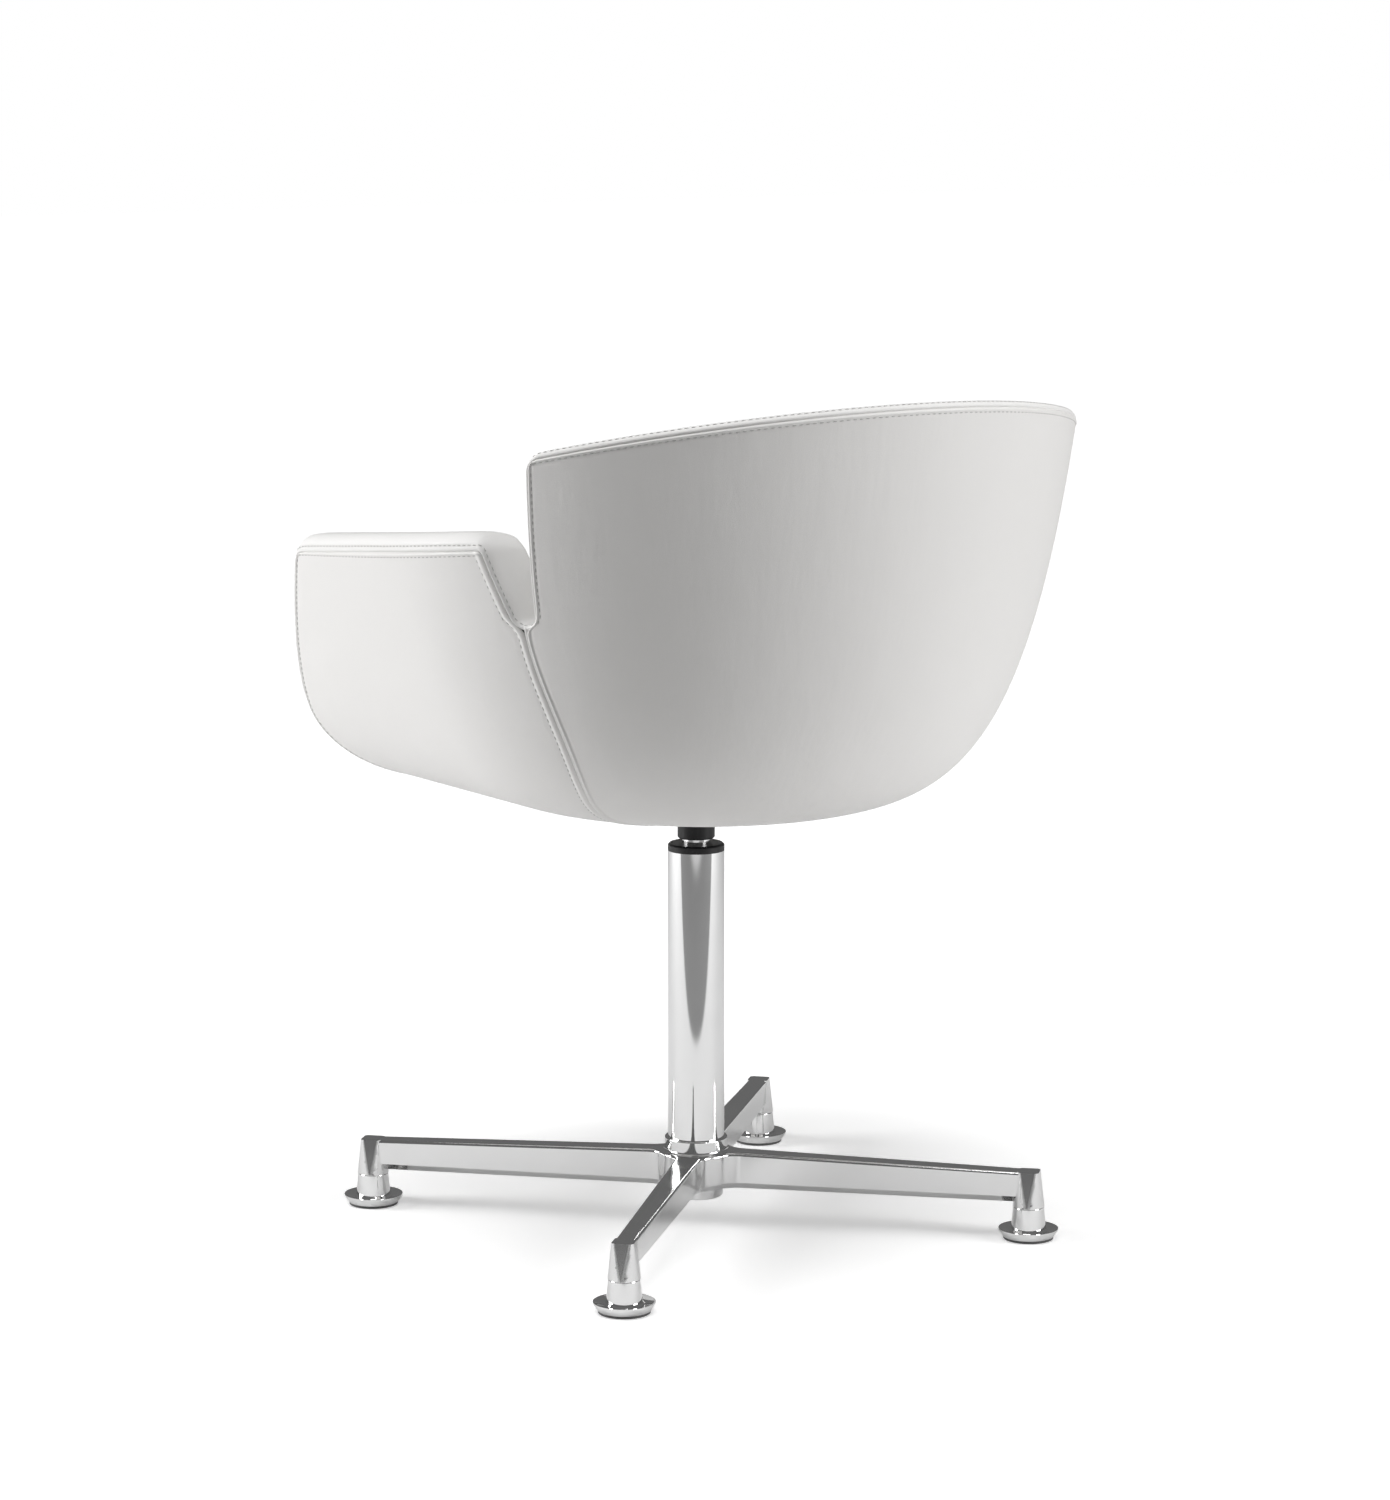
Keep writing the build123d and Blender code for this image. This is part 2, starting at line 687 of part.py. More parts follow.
# Leather covers outside: back, both sides and underneath
cover_half = wall_half(outer_curve, cover_curve, under_cover_r + soft_gap)
with BuildPart() as outer_back_cover:
    revolve(cover_half, axis=tub_axis, revolution_arc=180)
    extrude(panel_outline, amount=reach, both=True, mode=Mode.INTERSECT)
    extrude(behind_seam, amount=reach, both=True, mode=Mode.INTERSECT)

save(outer_back_cover, "outer_back_cover")

with BuildPart() as outer_left_cover:
    revolve(cover_half, axis=tub_axis, revolution_arc=90)
    extrude(cover_half, amount=front_run)
    extrude(panel_outline, amount=reach, both=True, mode=Mode.INTERSECT)
    extrude(before_seam, amount=reach, both=True, mode=Mode.SUBTRACT)

save(outer_left_cover, "outer_left_cover")

with BuildPart() as outer_right_cover:
    mirror(outer_left_cover.part, about=Plane.YZ)

save(outer_right_cover, "outer_right_cover")

with BuildPart() as underside_cover:
    with BuildSketch(Plane.XY.offset(floor_z)):
        with Locations((0, tub_axis_y)):
            Circle(under_cover_r)
        with Locations((0, tub_axis_y - front_run / 2)):
            Rectangle(2 * under_cover_r, front_run)
        with GridLocations(plate_bolt_spacing, plate_bolt_spacing, 2, 2):
            Circle(plate_bolt_d / 2 + soft_gap, mode=Mode.SUBTRACT)
    extrude(amount=cover_t)
    extrude(panel_outline, amount=reach, both=True, mode=Mode.INTERSECT)

save(underside_cover, "underside_cover")

# Pads inside: back and arms, above the seat cushion
pad_half = wall_half(pad_outer_curve, pad_curve, 0)
with BuildSketch(Plane.XY.offset(cushion_edge_z + soft_gap)) as above_cushion:
    Rectangle(2 * reach, 2 * reach)

with BuildPart() as inner_back_pad:
    revolve(pad_half, axis=tub_axis, revolution_arc=180)
    extrude(panel_outline, amount=reach, both=True, mode=Mode.INTERSECT)
    extrude(behind_seam, amount=reach, both=True, mode=Mode.INTERSECT)
    extrude(above_cushion.sketch, amount=reach, mode=Mode.INTERSECT)

save(inner_back_pad, "inner_back_pad")

with BuildPart() as left_arm_pad:
    revolve(pad_half, axis=tub_axis, revolution_arc=90)
    extrude(pad_half, amount=front_run)
    extrude(panel_outline, amount=reach, both=True, mode=Mode.INTERSECT)
    extrude(before_seam, amount=reach, both=True, mode=Mode.SUBTRACT)
    extrude(above_cushion.sketch, amount=reach, mode=Mode.INTERSECT)

save(left_arm_pad, "left_arm_pad")

with BuildPart() as right_arm_pad:
    mirror(left_arm_pad.part, about=Plane.YZ)

save(right_arm_pad, "right_arm_pad")

# Leather bands that cover the edge of the tub: the whole wall, rounded over along its edge,
# is the blank that the four bands are cut from
band_half = wall_half(outer_curve, pad_curve, 0)
band_wire = band_outline.face().outer_wire()
with BuildPart() as edge_blank:
    revolve(band_half, axis=tub_axis, revolution_arc=180)
    extrude(band_half, amount=front_run)
    extrude(mirror(band_half, about=Plane.YZ, mode=Mode.PRIVATE), amount=front_run, dir=(0, -1, 0))
    extrude(band_outline, amount=reach, both=True, mode=Mode.INTERSECT)
    curved = edge_blank.edges().filter_by(Axis.X, reverse=True)
    middles = [(edge, edge @ 0.5) for edge in curved]
    fillet([edge for edge, m in middles if band_wire.distance_to((0, m.Y, m.Z)) < face_gap], band_round)
    extrude(seam_outline, amount=reach, both=True, mode=Mode.SUBTRACT)

with BuildPart() as back_band:
    add(edge_blank.part)
    extrude(behind_seam, amount=reach, both=True, mode=Mode.INTERSECT)

save(back_band, "back_band")

with BuildPart() as left_arm_band:
    add(edge_blank.part)
    extrude(before_seam, amount=reach, both=True, mode=Mode.SUBTRACT)
    with BuildSketch(Plane.YZ.offset(front_band_half_width + soft_gap)):
        Rectangle(4 * reach, 4 * reach)
    extrude(amount=reach, mode=Mode.INTERSECT)

save(left_arm_band, "left_arm_band")

with BuildPart() as right_arm_band:
    mirror(left_arm_band.part, about=Plane.YZ)

save(right_arm_band, "right_arm_band")

with BuildPart() as front_band:
    add(edge_blank.part)
    extrude(before_seam, amount=reach, both=True, mode=Mode.SUBTRACT)
    with BuildSketch(Plane.YZ):
        Rectangle(4 * reach, 4 * reach)
    extrude(amount=front_band_half_width, both=True, mode=Mode.INTERSECT)

save(front_band, "front_band")

# Seat cushion: a crowned section that fits the tub, cut to a rounded side outline at the front
cushion_curve = even_curve(core_in + soft_gap)
tuck_r = radius_at(pad_curve, cushion_edge_z) - cushion_draw_in
with BuildSketch(tub_plane) as cushion_half:
    with BuildLine():
        Bezier(*cushion_curve)
        Polyline(cushion_curve[3], (0, rim_z), (0, cushion_curve[0].Y), cushion_curve[0])
    make_face()
    with BuildLine():
        Polyline((0, cushion_crown_z), (0, 0), (reach, 0), (reach, cushion_edge_z), (tuck_r, cushion_edge_z))
        Spline(
            (tuck_r, cushion_edge_z),
            (tuck_r - cushion_crown_inset, (cushion_edge_z + 2 * cushion_crown_z) / 3),
            (0, cushion_crown_z),
            tangents=((-1, 1), (-1, 0)),
        )
    make_face(mode=Mode.INTERSECT)

cushion_front_y = front_y(cushion_edge_z) + cushion_front_inset
cushion_toe_y = front_y(cushion_curve[0].Y) + cushion_front_inset
cushion_brow_y = cushion_front_y + cushion_crown_inset
with BuildSketch(Plane.YZ) as cushion_side:
    with BuildLine():
        Polyline((cushion_front_y, cushion_edge_z), (cushion_toe_y, floor_z), (reach, floor_z))
        Polyline((reach, floor_z), (reach, rim_z), (cushion_brow_y, rim_z), (cushion_brow_y, cushion_crown_z))
        Spline(
            (cushion_brow_y, cushion_crown_z),
            (cushion_front_y, cushion_edge_z),
            tangents=((-1, 0), (-0.3, -1)),
        )
    make_face()

with BuildPart() as seat_cushion:
    revolve(cushion_half.sketch, axis=tub_axis, revolution_arc=180)
    extrude(cushion_half.sketch, amount=front_run)
    extrude(mirror(cushion_half.sketch, about=Plane.YZ, mode=Mode.PRIVATE), amount=front_run, dir=(0, -1, 0))
    extrude(cushion_side.sketch, amount=reach, both=True, mode=Mode.INTERSECT)

save(seat_cushion, "seat_cushion")
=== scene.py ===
# %% [markdown]
# # A leather tub armchair that turns on a column
# The engineering model comes in first, as a fixed frame. Everything made here is dressing for that
# frame: white leather over foam, sewn edges, thread, polished metal, and a plain studio round it.

# %% The frame
import json
import math
import bpy
import numpy as np
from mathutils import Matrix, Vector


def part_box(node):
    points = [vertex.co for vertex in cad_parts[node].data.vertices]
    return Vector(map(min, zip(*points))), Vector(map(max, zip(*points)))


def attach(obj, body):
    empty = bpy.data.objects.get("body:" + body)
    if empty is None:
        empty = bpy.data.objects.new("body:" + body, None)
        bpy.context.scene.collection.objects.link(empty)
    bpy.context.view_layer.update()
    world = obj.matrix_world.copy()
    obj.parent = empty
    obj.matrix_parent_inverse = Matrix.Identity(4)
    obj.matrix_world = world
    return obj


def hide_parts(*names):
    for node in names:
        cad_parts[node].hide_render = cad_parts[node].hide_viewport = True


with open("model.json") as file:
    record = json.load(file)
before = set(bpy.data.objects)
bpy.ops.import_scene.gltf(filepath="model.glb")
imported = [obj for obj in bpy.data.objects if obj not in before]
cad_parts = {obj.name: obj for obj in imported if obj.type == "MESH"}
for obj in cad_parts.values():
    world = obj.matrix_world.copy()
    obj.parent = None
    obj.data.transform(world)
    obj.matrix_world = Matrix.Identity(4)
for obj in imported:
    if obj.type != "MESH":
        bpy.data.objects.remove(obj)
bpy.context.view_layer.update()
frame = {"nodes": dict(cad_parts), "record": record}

# %% [markdown]
# ## The camera
# A chair photographed from behind and above seat height. The lens and the place were worked out from
# the four feet, the column and the rim, so the render can be laid over the photograph. The frame is
# taller than wide, so the sensor's 36 mm run along its height.


# %% The camera
def facing_along(way):
    """The turn that makes a camera or lamp look along a direction."""
    tilt = math.atan2(way[2], math.hypot(way[0], way[1]))
    heading = math.atan2(way[1], way[0])
    return math.pi / 2 + tilt, 0, heading - math.pi / 2


EYE = (2.1594, 3.2644, 1.0528)
AIM = (-0.5445, -0.8236, -0.1584)
SENSOR = 36.0
LENS = 108.4
FAR_CLIP = 60.0
bpy.ops.object.camera_add(location=EYE)
camera = bpy.context.object
camera.rotation_euler = facing_along(AIM)
camera.data.sensor_fit = "AUTO"
camera.data.sensor_width = SENSOR
camera.data.lens = LENS
camera.data.clip_end = FAR_CLIP
bpy.context.scene.camera = camera
print("camera", tuple(round(v, 3) for v in camera.location))

# %% [markdown]
# ## Shader maths in Python
# A finish is a small sum: grain times a mask, plus a stain. Wiring that by hand hides the sum, so one
# class wraps a socket and lets plain operators add the Math nodes.


# %% A socket that can be added and multiplied
class Term:
    """A socket of a node tree, with operators that add Math nodes."""

    def __init__(self, tree, socket):
        self.tree = tree
        self.socket = socket

    def node(self, kind, settings=None, **inputs):
        """Any node: settings first, then its inputs, named with underscores for spaces."""
        made = self.tree.nodes.new(kind)
        for key, value in (settings or {}).items():
            if key == "stops":
                ramp = made.color_ramp
                for at, (position, color) in enumerate(value):
                    element = ramp.elements[at] if at < 2 else ramp.elements.new(position)
                    element.position = position
                    element.color = (*color, 1.0)
            else:
                setattr(made, key, value)
        for key, value in inputs.items():
            place = int(key[1:]) if key[0] == "i" and key[1:].isdigit() else key.replace("_", " ")
            target = made.inputs[place]
            if isinstance(value, Term):
                self.tree.links.new(value.socket, target)
            else:
                target.default_value = value
        return made

    def math(self, operation, other):
        made = self.node("ShaderNodeMath", {"operation": operation}, i0=self, i1=other)
        return Term(self.tree, made.outputs[0])

    def __add__(self, other):
        return self.math("ADD", other)

    def __mul__(self, other):
        return self.math("MULTIPLY", other)

    def __sub__(self, other):
        return self.math("SUBTRACT", other)

    def __rsub__(self, other):
        made = self.node("ShaderNodeMath", {"operation": "SUBTRACT"}, i0=other, i1=self)
        return Term(self.tree, made.outputs[0])

    __radd__ = __add__
    __rmul__ = __mul__

    def ramp(self, *stops):
        made = self.node("ShaderNodeValToRGB", {"stops": stops}, Fac=self)
        return Term(self.tree, made.outputs[0])

    def noise(self, scale, detail, roughness):
        made = self.node(
            "ShaderNodeTexNoise", None, Vector=self, Scale=scale, Detail=detail, Roughness=roughness
        )
        return Term(self.tree, made.outputs[0])

    def cell_edges(self, scale):
        """Distance to the nearest edge between cells, such as the pores of a hide."""
        made = self.node("ShaderNodeTexVoronoi", {"feature": "DISTANCE_TO_EDGE"}, Vector=self, Scale=scale)
        return Term(self.tree, made.outputs[0])

    def stretched(self, scale):
        made = self.node("ShaderNodeMapping", None, Vector=self, Scale=scale)
        return Term(self.tree, made.outputs[0])

    def axis(self, number):
        made = self.node("ShaderNodeSeparateXYZ", None, Vector=self)
        return Term(self.tree, made.outputs[number])

    def bump(self, strength, distance):
        made = self.node("ShaderNodeBump", None, Strength=strength, Distance=distance, Height=self)
        return Term(self.tree, made.outputs[0])


def new_finish(name, **constants):
    """A material, its shader, and the object coordinates as a Term."""
    finish = bpy.data.materials.new(name)
    finish.use_nodes = True
    tree = finish.node_tree
    shader = tree.nodes["Principled BSDF"]
    for key, value in constants.items():
        shader.inputs[key.replace("_", " ")].default_value = value
    coordinates = tree.nodes.new("ShaderNodeTexCoord")
    return finish, shader, Term(tree, coordinates.outputs["Object"])


def feed(shader, name, term):
    term.tree.links.new(term.socket, shader.inputs[name])


def grey(level):
    return (level, level, level)


def two_tones(mask, tone, darker, spread=0.2):
    """A tone that sinks to a darker one where the mask is low."""
    return mask.ramp((0.5 - spread, [c * darker for c in tone]), (0.5 + spread, tone))


BLACK = grey(0.0)
WHITE = grey(1.0)
print("shader terms ready")

# %% [markdown]
# ## White leather
# Corrected-grain hide: almost even in colour, with pores about a millimetre apart, a soft low sheen,
# and faint drag creases where it is pulled over a curve. The pores are cells, the creases stretched
# noise, and both only move the normal and the roughness a little.


# %% White leather and its thread
PORES_PER_METRE = 1150.0
CREASE_STRETCH = (1.0, 1.0, 0.16)


def leather_finish(name, tone, crease):
    """A hide of one tone; crease says how strongly it is dragged."""
    finish, shader, place = new_finish(
        name, Specular_IOR_Level=0.42, Coat_Weight=0.06, Coat_Roughness=0.35
    )
    pores = place.cell_edges(PORES_PER_METRE).ramp((0.0, BLACK), (0.22, WHITE))
    fine = place.noise(420.0, 4.0, 0.6)
    drag = place.stretched(CREASE_STRETCH).noise(46.0, 3.0, 0.55)
    broad = place.noise(5.5, 2.0, 0.5)
    feed(shader, "Base Color", two_tones(broad, tone, 0.975, spread=0.25))
    feed(shader, "Roughness", 0.44 + broad * 0.08 + fine * 0.05)
    relief = pores * 0.14 + fine * 0.20 + drag * crease
    feed(shader, "Normal", relief.bump(0.45, 0.0008))
    return finish


white_leather = leather_finish("white_leather", (0.870, 0.859, 0.844), 1.7)
edge_leather = leather_finish("edge_leather", (0.885, 0.878, 0.866), 0.7)
thread_finish, thread_shader, thread_place = new_finish("sewing_thread", Specular_IOR_Level=0.3)
twist = thread_place.noise(900.0, 2.0, 0.5)
# The thread is darker than its own light grey: painted shade of the pits it is pulled into.
thread_tone_with_painted_pit_shade = twist.ramp((0.3, (0.50, 0.495, 0.485)), (0.7, (0.64, 0.635, 0.62)))
feed(thread_shader, "Base Color", thread_tone_with_painted_pit_shade)
feed(thread_shader, "Roughness", 0.6 + twist * 0.15)
print("leather", white_leather.name, edge_leather.name, thread_finish.name)

# %% [markdown]
# ## Metal and plastic
# The base is cast aluminium, polished by hand: bright, with a faint waviness and tiny wheel marks. The
# column and glides are chromed steel, flatter and sharper. Collar and sleeve are black moulded plastic.


# %% Metal and plastic
def metal_finish(name, tone, smoothest, roughest, wave_scale, wave):
    """Bare metal with smears in its gloss and small waves in its face."""
    finish, shader, place = new_finish(name, Metallic=1.0)
    marks = place.noise(wave_scale, 3.0, 0.5)
    smear = place.noise(14.0, 2.0, 0.5)
    feed(shader, "Base Color", two_tones(smear, tone, 0.95))
    feed(shader, "Roughness", smoothest + smear * (roughest - smoothest) + marks * 0.02)
    feed(shader, "Normal", marks.bump(wave, 0.0004))
    return finish


def plastic_finish(name, tone, rough, texture):
    """Moulded plastic or paint with a fine spark texture."""
    finish, shader, place = new_finish(name, Specular_IOR_Level=0.4)
    spark = place.noise(texture, 3.0, 0.6)
    feed(shader, "Base Color", two_tones(spark, tone, 0.8))
    feed(shader, "Roughness", rough + spark * 0.12)
    feed(shader, "Normal", spark.bump(0.12, 0.0003))
    return finish


polished_cast = metal_finish("polished_cast_aluminium", grey(0.80), 0.06, 0.14, 60.0, 0.05)
bright_chrome = metal_finish("bright_chrome", grey(0.83), 0.03, 0.07, 25.0, 0.015)
plain_steel = metal_finish("plain_steel", (0.55, 0.55, 0.56), 0.28, 0.40, 300.0, 0.10)
black_plastic = plastic_finish("black_plastic", (0.018, 0.018, 0.019), 0.34, 700.0)
sole_plastic = plastic_finish("sole_plastic", grey(0.10), 0.55, 500.0)
bush_plastic = plastic_finish("bush_plastic", (0.75, 0.73, 0.68), 0.45, 500.0)
shell_plastic = plastic_finish("moulded_shell", grey(0.12), 0.55, 350.0)
black_steel = plastic_finish("black_steel", grey(0.03), 0.38, 900.0)
print("metals and plastics ready")

# %% [markdown]
# ## Finishes on the rigid pieces
# Base, column, glides and fasteners keep their engineering shape. The record names a material slot for
# each of them, so one table from slot to finish dresses them all.

# %% Finishes on the rigid nodes
slot_finish = {
    "polished_aluminium": polished_cast,
    "chrome": bright_chrome,
    "black_plastic": black_plastic,
    "sole_plastic": sole_plastic,
    "bush_plastic": bush_plastic,
    "plain_steel": plain_steel,
    "black_steel": black_steel,
    "shell_plastic": shell_plastic,
    "white_leather": white_leather,
}
for part in frame["record"]["subparts"]:
    node = frame["nodes"][part["node"]]
    node.data.materials.clear()
    node.data.materials.append(slot_finish[part["material_slot"]])
print("finished", len(frame["nodes"]), "nodes")

# %% [markdown]
# ## The tub's own shape
# The real shell is one moulding: a half section spun round behind the sitter and run straight forward
# under the arms. Leather pieces are cut to lie on it, so each is laid out flat first, in two lengths:
# one round the plan, one up the section. Then it is wrapped on.


# %% Lengths along a line
def run_length(points):
    """Length along a line at each of its points."""
    return np.concatenate([[0], np.cumsum(np.linalg.norm(np.diff(points, axis=0), axis=1))])


def read_at(values, size, place):
    """What a line's points carry, read at one length along it or at several."""
    return np.stack([np.interp(place, size, values[:, k]) for k in range(values.shape[1])], axis=-1)


def dense(points, step):
    """The same line with a point at every step."""
    size = run_length(points)
    count = max(2, int(round(size[-1] / step)) + 1)
    return read_at(points, size, np.linspace(0, size[-1], count))


def between(start, end, step):
    """Points of a straight run, without its two ends."""
    return dense(np.stack([start, end]), step)[1:-1]


def eased(value):
    """From 0 to 1 with a soft start and a soft end."""
    value = np.clip(value, 0, 1)
    return value * value * (3 - 2 * value)


print("line tools ready")

# %% The tub's section and plan
SECTION = np.array([(0.1120, 0.3817), (0.2318, 0.3820), (0.2892, 0.4490), (0.3275, 0.7635)])
AXIS_Y = 0.0116
PLAN_R = 0.29
CURVE_POINTS = 1500
FLOOR_POINTS = 59
SHELL_DEPTH = 0.0446
RIM_DEPTH = 0.0366


class Wall:
    """The tub's half section at a depth under its outer face, measured along its length."""

    def __init__(self, floor, side, rim):
        legs = np.diff(SECTION, axis=0)
        legs /= np.linalg.norm(legs, axis=1)[:, None]
        low, slant, high = np.stack([-legs[:, 1], legs[:, 0]], axis=1)
        points = np.array([
            SECTION[0] + low * floor,
            SECTION[1] + (low + slant) * floor / (1 + low @ slant),
            SECTION[2] + (slant + high) * side / (1 + slant @ high),
            SECTION[3] + high * rim,
        ])
        t = np.linspace(0, 1, CURVE_POINTS)[:, None]
        curve = (1 - t) ** 3 * points[0] + 3 * t * (1 - t) ** 2 * points[1]
        curve = curve + 3 * t**2 * (1 - t) * points[2] + t**3 * points[3]
        reach = np.linspace(0, curve[0, 0], FLOOR_POINTS + 1)[:-1]
        flat = np.stack([reach, np.full(FLOOR_POINTS, curve[0, 1])], axis=1)
        self.first = FLOOR_POINTS
        self.line = np.concatenate([flat, curve])
        self.length = run_length(self.line)

    def at(self, s):
        """Radius and height at a length along the section."""
        return np.interp(s, self.length, self.line[:, 0]), np.interp(s, self.length, self.line[:, 1])

    def along(self, z):
        """Length along the section at a height."""
        return np.interp(z, self.line[self.first:, 1], self.length[self.first:])

    def radius(self, z):
        """Radius of the section at a height."""
        return np.interp(z, self.line[self.first:, 1], self.line[self.first:, 0])

    def lay(self, q, s):
        """Wraps plan length q and section length s on the tub; gives points and outward normals."""
        q, s = np.asarray(q, float), np.asarray(s, float)
        r, z = self.at(s)
        step = 0.0005
        r1, z1 = self.at(s + step)
        r0, z0 = self.at(s - step)
        run, rise = r1 - r0, z1 - z0
        size = np.hypot(run, rise)
        out_r, out_z = rise / size, -run / size
        turn = np.clip(q, 0, None) / PLAN_R
        x, y = r * np.cos(turn), AXIS_Y + np.minimum(q, 0) + r * np.sin(turn)
        points = np.stack([x, y, z], axis=-1)
        normals = np.stack([out_r * np.cos(turn), out_r * np.sin(turn), out_z], axis=-1)
        return points, normals

    def plan(self, y, z):
        """Plan length q of the wall's left half where the side view shows y, z."""
        back = PLAN_R * np.arcsin(np.clip((y - AXIS_Y) / self.radius(z), 0, 1))
        return np.where(y < AXIS_Y, y - AXIS_Y, back)


outer_wall = Wall(0, 0, 0)
inner_wall = Wall(SHELL_DEPTH, SHELL_DEPTH, RIM_DEPTH)
print("section length", round(float(outer_wall.length[-1]), 4))

# %% [markdown]
# ## The sewn edge in side view
# From the side, the tub is cut to five straight runs: front edge, arm top, the two sides of the notch
# and the back's rim, joined by round corners. The leather's edge seam follows that line exactly, so
# the line is made once and every panel and band reads its edge from it. The bands' own outline is
# the same line with each run moved out, so one function makes both.


# %% Runs and corners
def ray(y, z, heading, rise=0.0):
    """A straight run through a side-view point, moved out by a rise."""
    way = np.array([math.cos(math.radians(heading)), math.sin(math.radians(heading))])
    return np.array([y, z]) + np.array([way[1], -way[0]]) * rise, way


def meet(first, second):
    """The point where two runs cross."""
    (a, u), (b, v) = first, second
    gap = b - a
    return a + u * (gap[0] * v[1] - gap[1] * v[0]) / (u[0] * v[1] - u[1] * v[0])


def rounded(before, corner, after, radius, count=24):
    """Points of an arc that rounds a corner between two neighbours."""
    u = (before - corner) / np.linalg.norm(before - corner)
    v = (after - corner) / np.linalg.norm(after - corner)
    half = math.acos(np.clip(u @ v, -1, 1)) / 2
    reach = radius / math.tan(half)
    middle = corner + (u + v) / np.linalg.norm(u + v) * radius / math.sin(half)
    a0 = corner + u * reach - middle
    a1 = corner + v * reach - middle
    start, end = math.atan2(a0[1], a0[0]), math.atan2(a1[1], a1[0])
    sweep = (end - start + math.pi) % (2 * math.pi) - math.pi
    angles = start + sweep * np.linspace(0, 1, count)
    return middle + radius * np.stack([np.cos(angles), np.sin(angles)], axis=1)


print("corner tools ready")

# %% The side outline
FLOOR_RUN = (0.0, 0.3807, 0.0)
FRONT_RUN = (-0.177, 0.594, 242.7)
ARM_RUN = (0.0, 0.6188, 185.5)
NOTCH_ARM_RUN = (0.1287, 0.5857, 105.0)
NOTCH_BACK_RUN = (0.1576, 0.596, 262.7)
RIM_RUN = (0.325, 0.7451, 193.9)
TOE_R, FRONT_R, ARM_R, NOTCH_R, BACK_R = 0.050, 0.022, 0.005, 0.012, 0.014
RIM_REACH = 0.25


def side_outline(back=0.0, notch=0.0, arm=0.0, front=0.0):
    """Five round corners from toe to rim and the rim's far end, with each run moved out by a rise."""
    lead, top = ray(*FRONT_RUN, front), ray(*ARM_RUN, arm)
    arm_side, back_side = ray(*NOTCH_ARM_RUN, notch), ray(*NOTCH_BACK_RUN, notch)
    rim = ray(*RIM_RUN, back)
    corners = [np.array(FLOOR_RUN[:2]), meet(ray(*FLOOR_RUN), lead), meet(lead, top), meet(top, arm_side)]
    corners += [meet(arm_side, back_side), meet(back_side, rim)]
    corners.append(corners[-1] - rim[1] * RIM_REACH)
    radii = (TOE_R, FRONT_R + front, ARM_R + arm, NOTCH_R - notch, BACK_R + back)
    arcs = [rounded(*corners[k:k + 3], radius) for k, radius in enumerate(radii)]
    return arcs, corners[-1]


(toe_arc, front_arc, arm_arc, notch_arc, back_arc), _ = side_outline()
notch_foot = int(np.argmin(notch_arc[:, 1]))
print("notch bottom", notch_arc[notch_foot].round(4))

# %% [markdown]
# ## The side seam
# Back and side leather meet in one seam that starts at the notch's foot, sweeps forward as it goes down
# and ends under the tub. Four points of it are known, so one cubic through them is enough.

# %% The side seam, from the notch down to the floor
FLOOR_SEAM = 0.3817
SEAM = np.array([tuple(notch_arc[notch_foot]), (0.1435, 0.507), (0.128, 0.425), (0.092, FLOOR_SEAM)])


def seam_line(count=60):
    """The curved seam between back and side leather: one cubic through its four points."""
    z = np.linspace(SEAM[3, 1], SEAM[0, 1], count)
    y = np.zeros(count)
    for k in range(4):
        part = np.full(count, SEAM[k, 0])
        for j in range(4):
            if j != k:
                part = part * (z - SEAM[j, 1]) / (SEAM[k, 1] - SEAM[j, 1])
        y = y + part
    return np.stack([y, z], axis=1)


side_seam = seam_line()
print("side seam", side_seam[0].round(4), side_seam[-1].round(4))

# %% [markdown]
# ## Leather panels
# A cover starts as a flat cut piece with four edges. Here that is a grid whose four edges follow the
# seams, with the inside filled in between them, wrapped on the tub. Rows crowd together at the edges, so
# the hide can roll into its seam, rise in a bead beside it and sink under the thread.


# %% Laying out a panel
EDGE_ROWS = np.array([0.0, 0.0007, 0.0016, 0.0027, 0.0038, 0.0050, 0.0064, 0.0082, 0.0105, 0.0140])


def fractions(length, step):
    """Places along a panel: crowded at both edges, even between."""
    count = max(4, int((length - 2 * EDGE_ROWS[-1]) / step))
    inner = np.linspace(EDGE_ROWS[-1], length - EDGE_ROWS[-1], count)
    return np.concatenate([EDGE_ROWS, inner[1:-1], length - EDGE_ROWS[::-1]]) / length


def walk(line, places):
    """Points at the given fractions of a line's length."""
    size = run_length(line)
    return read_at(line, size, np.asarray(places) * size[-1])


def fill_in(bottom, top, left, right, across, up):
    """A grid between four edges: rows go up, columns go across."""
    b, t, l, r = walk(bottom, across), walk(top, across), walk(left, up), walk(right, up)
    u, v = across[None, :, None], up[:, None, None]
    sides = (1 - u) * l[:, None] + u * r[:, None]
    ends = (1 - v) * b[None] + v * t[None]
    corners = (1 - u) * (1 - v) * l[0] + u * (1 - v) * r[0] + (1 - u) * v * l[-1] + u * v * r[-1]
    return sides + ends - corners


def edge_distance(points):
    """Distance of every grid point from the left, right, bottom and top edges."""
    steps_u = np.linalg.norm(np.diff(points, axis=1), axis=2)
    steps_v = np.linalg.norm(np.diff(points, axis=0), axis=2)
    zero_u = np.zeros((points.shape[0], 1))
    zero_v = np.zeros((1, points.shape[1]))
    left = np.concatenate([zero_u, np.cumsum(steps_u, axis=1)], axis=1)
    bottom = np.concatenate([zero_v, np.cumsum(steps_v, axis=0)], axis=0)
    return {"left": left, "right": left[:, -1:] - left, "bottom": bottom, "top": bottom[-1:] - bottom}


ROLL = 0.0022
THREAD_SINK = 0.0006
THREAD_WIDTH = 0.0010
BEAD = 0.0008
BEAD_AT = 0.55
BEAD_WIDTH = 0.30


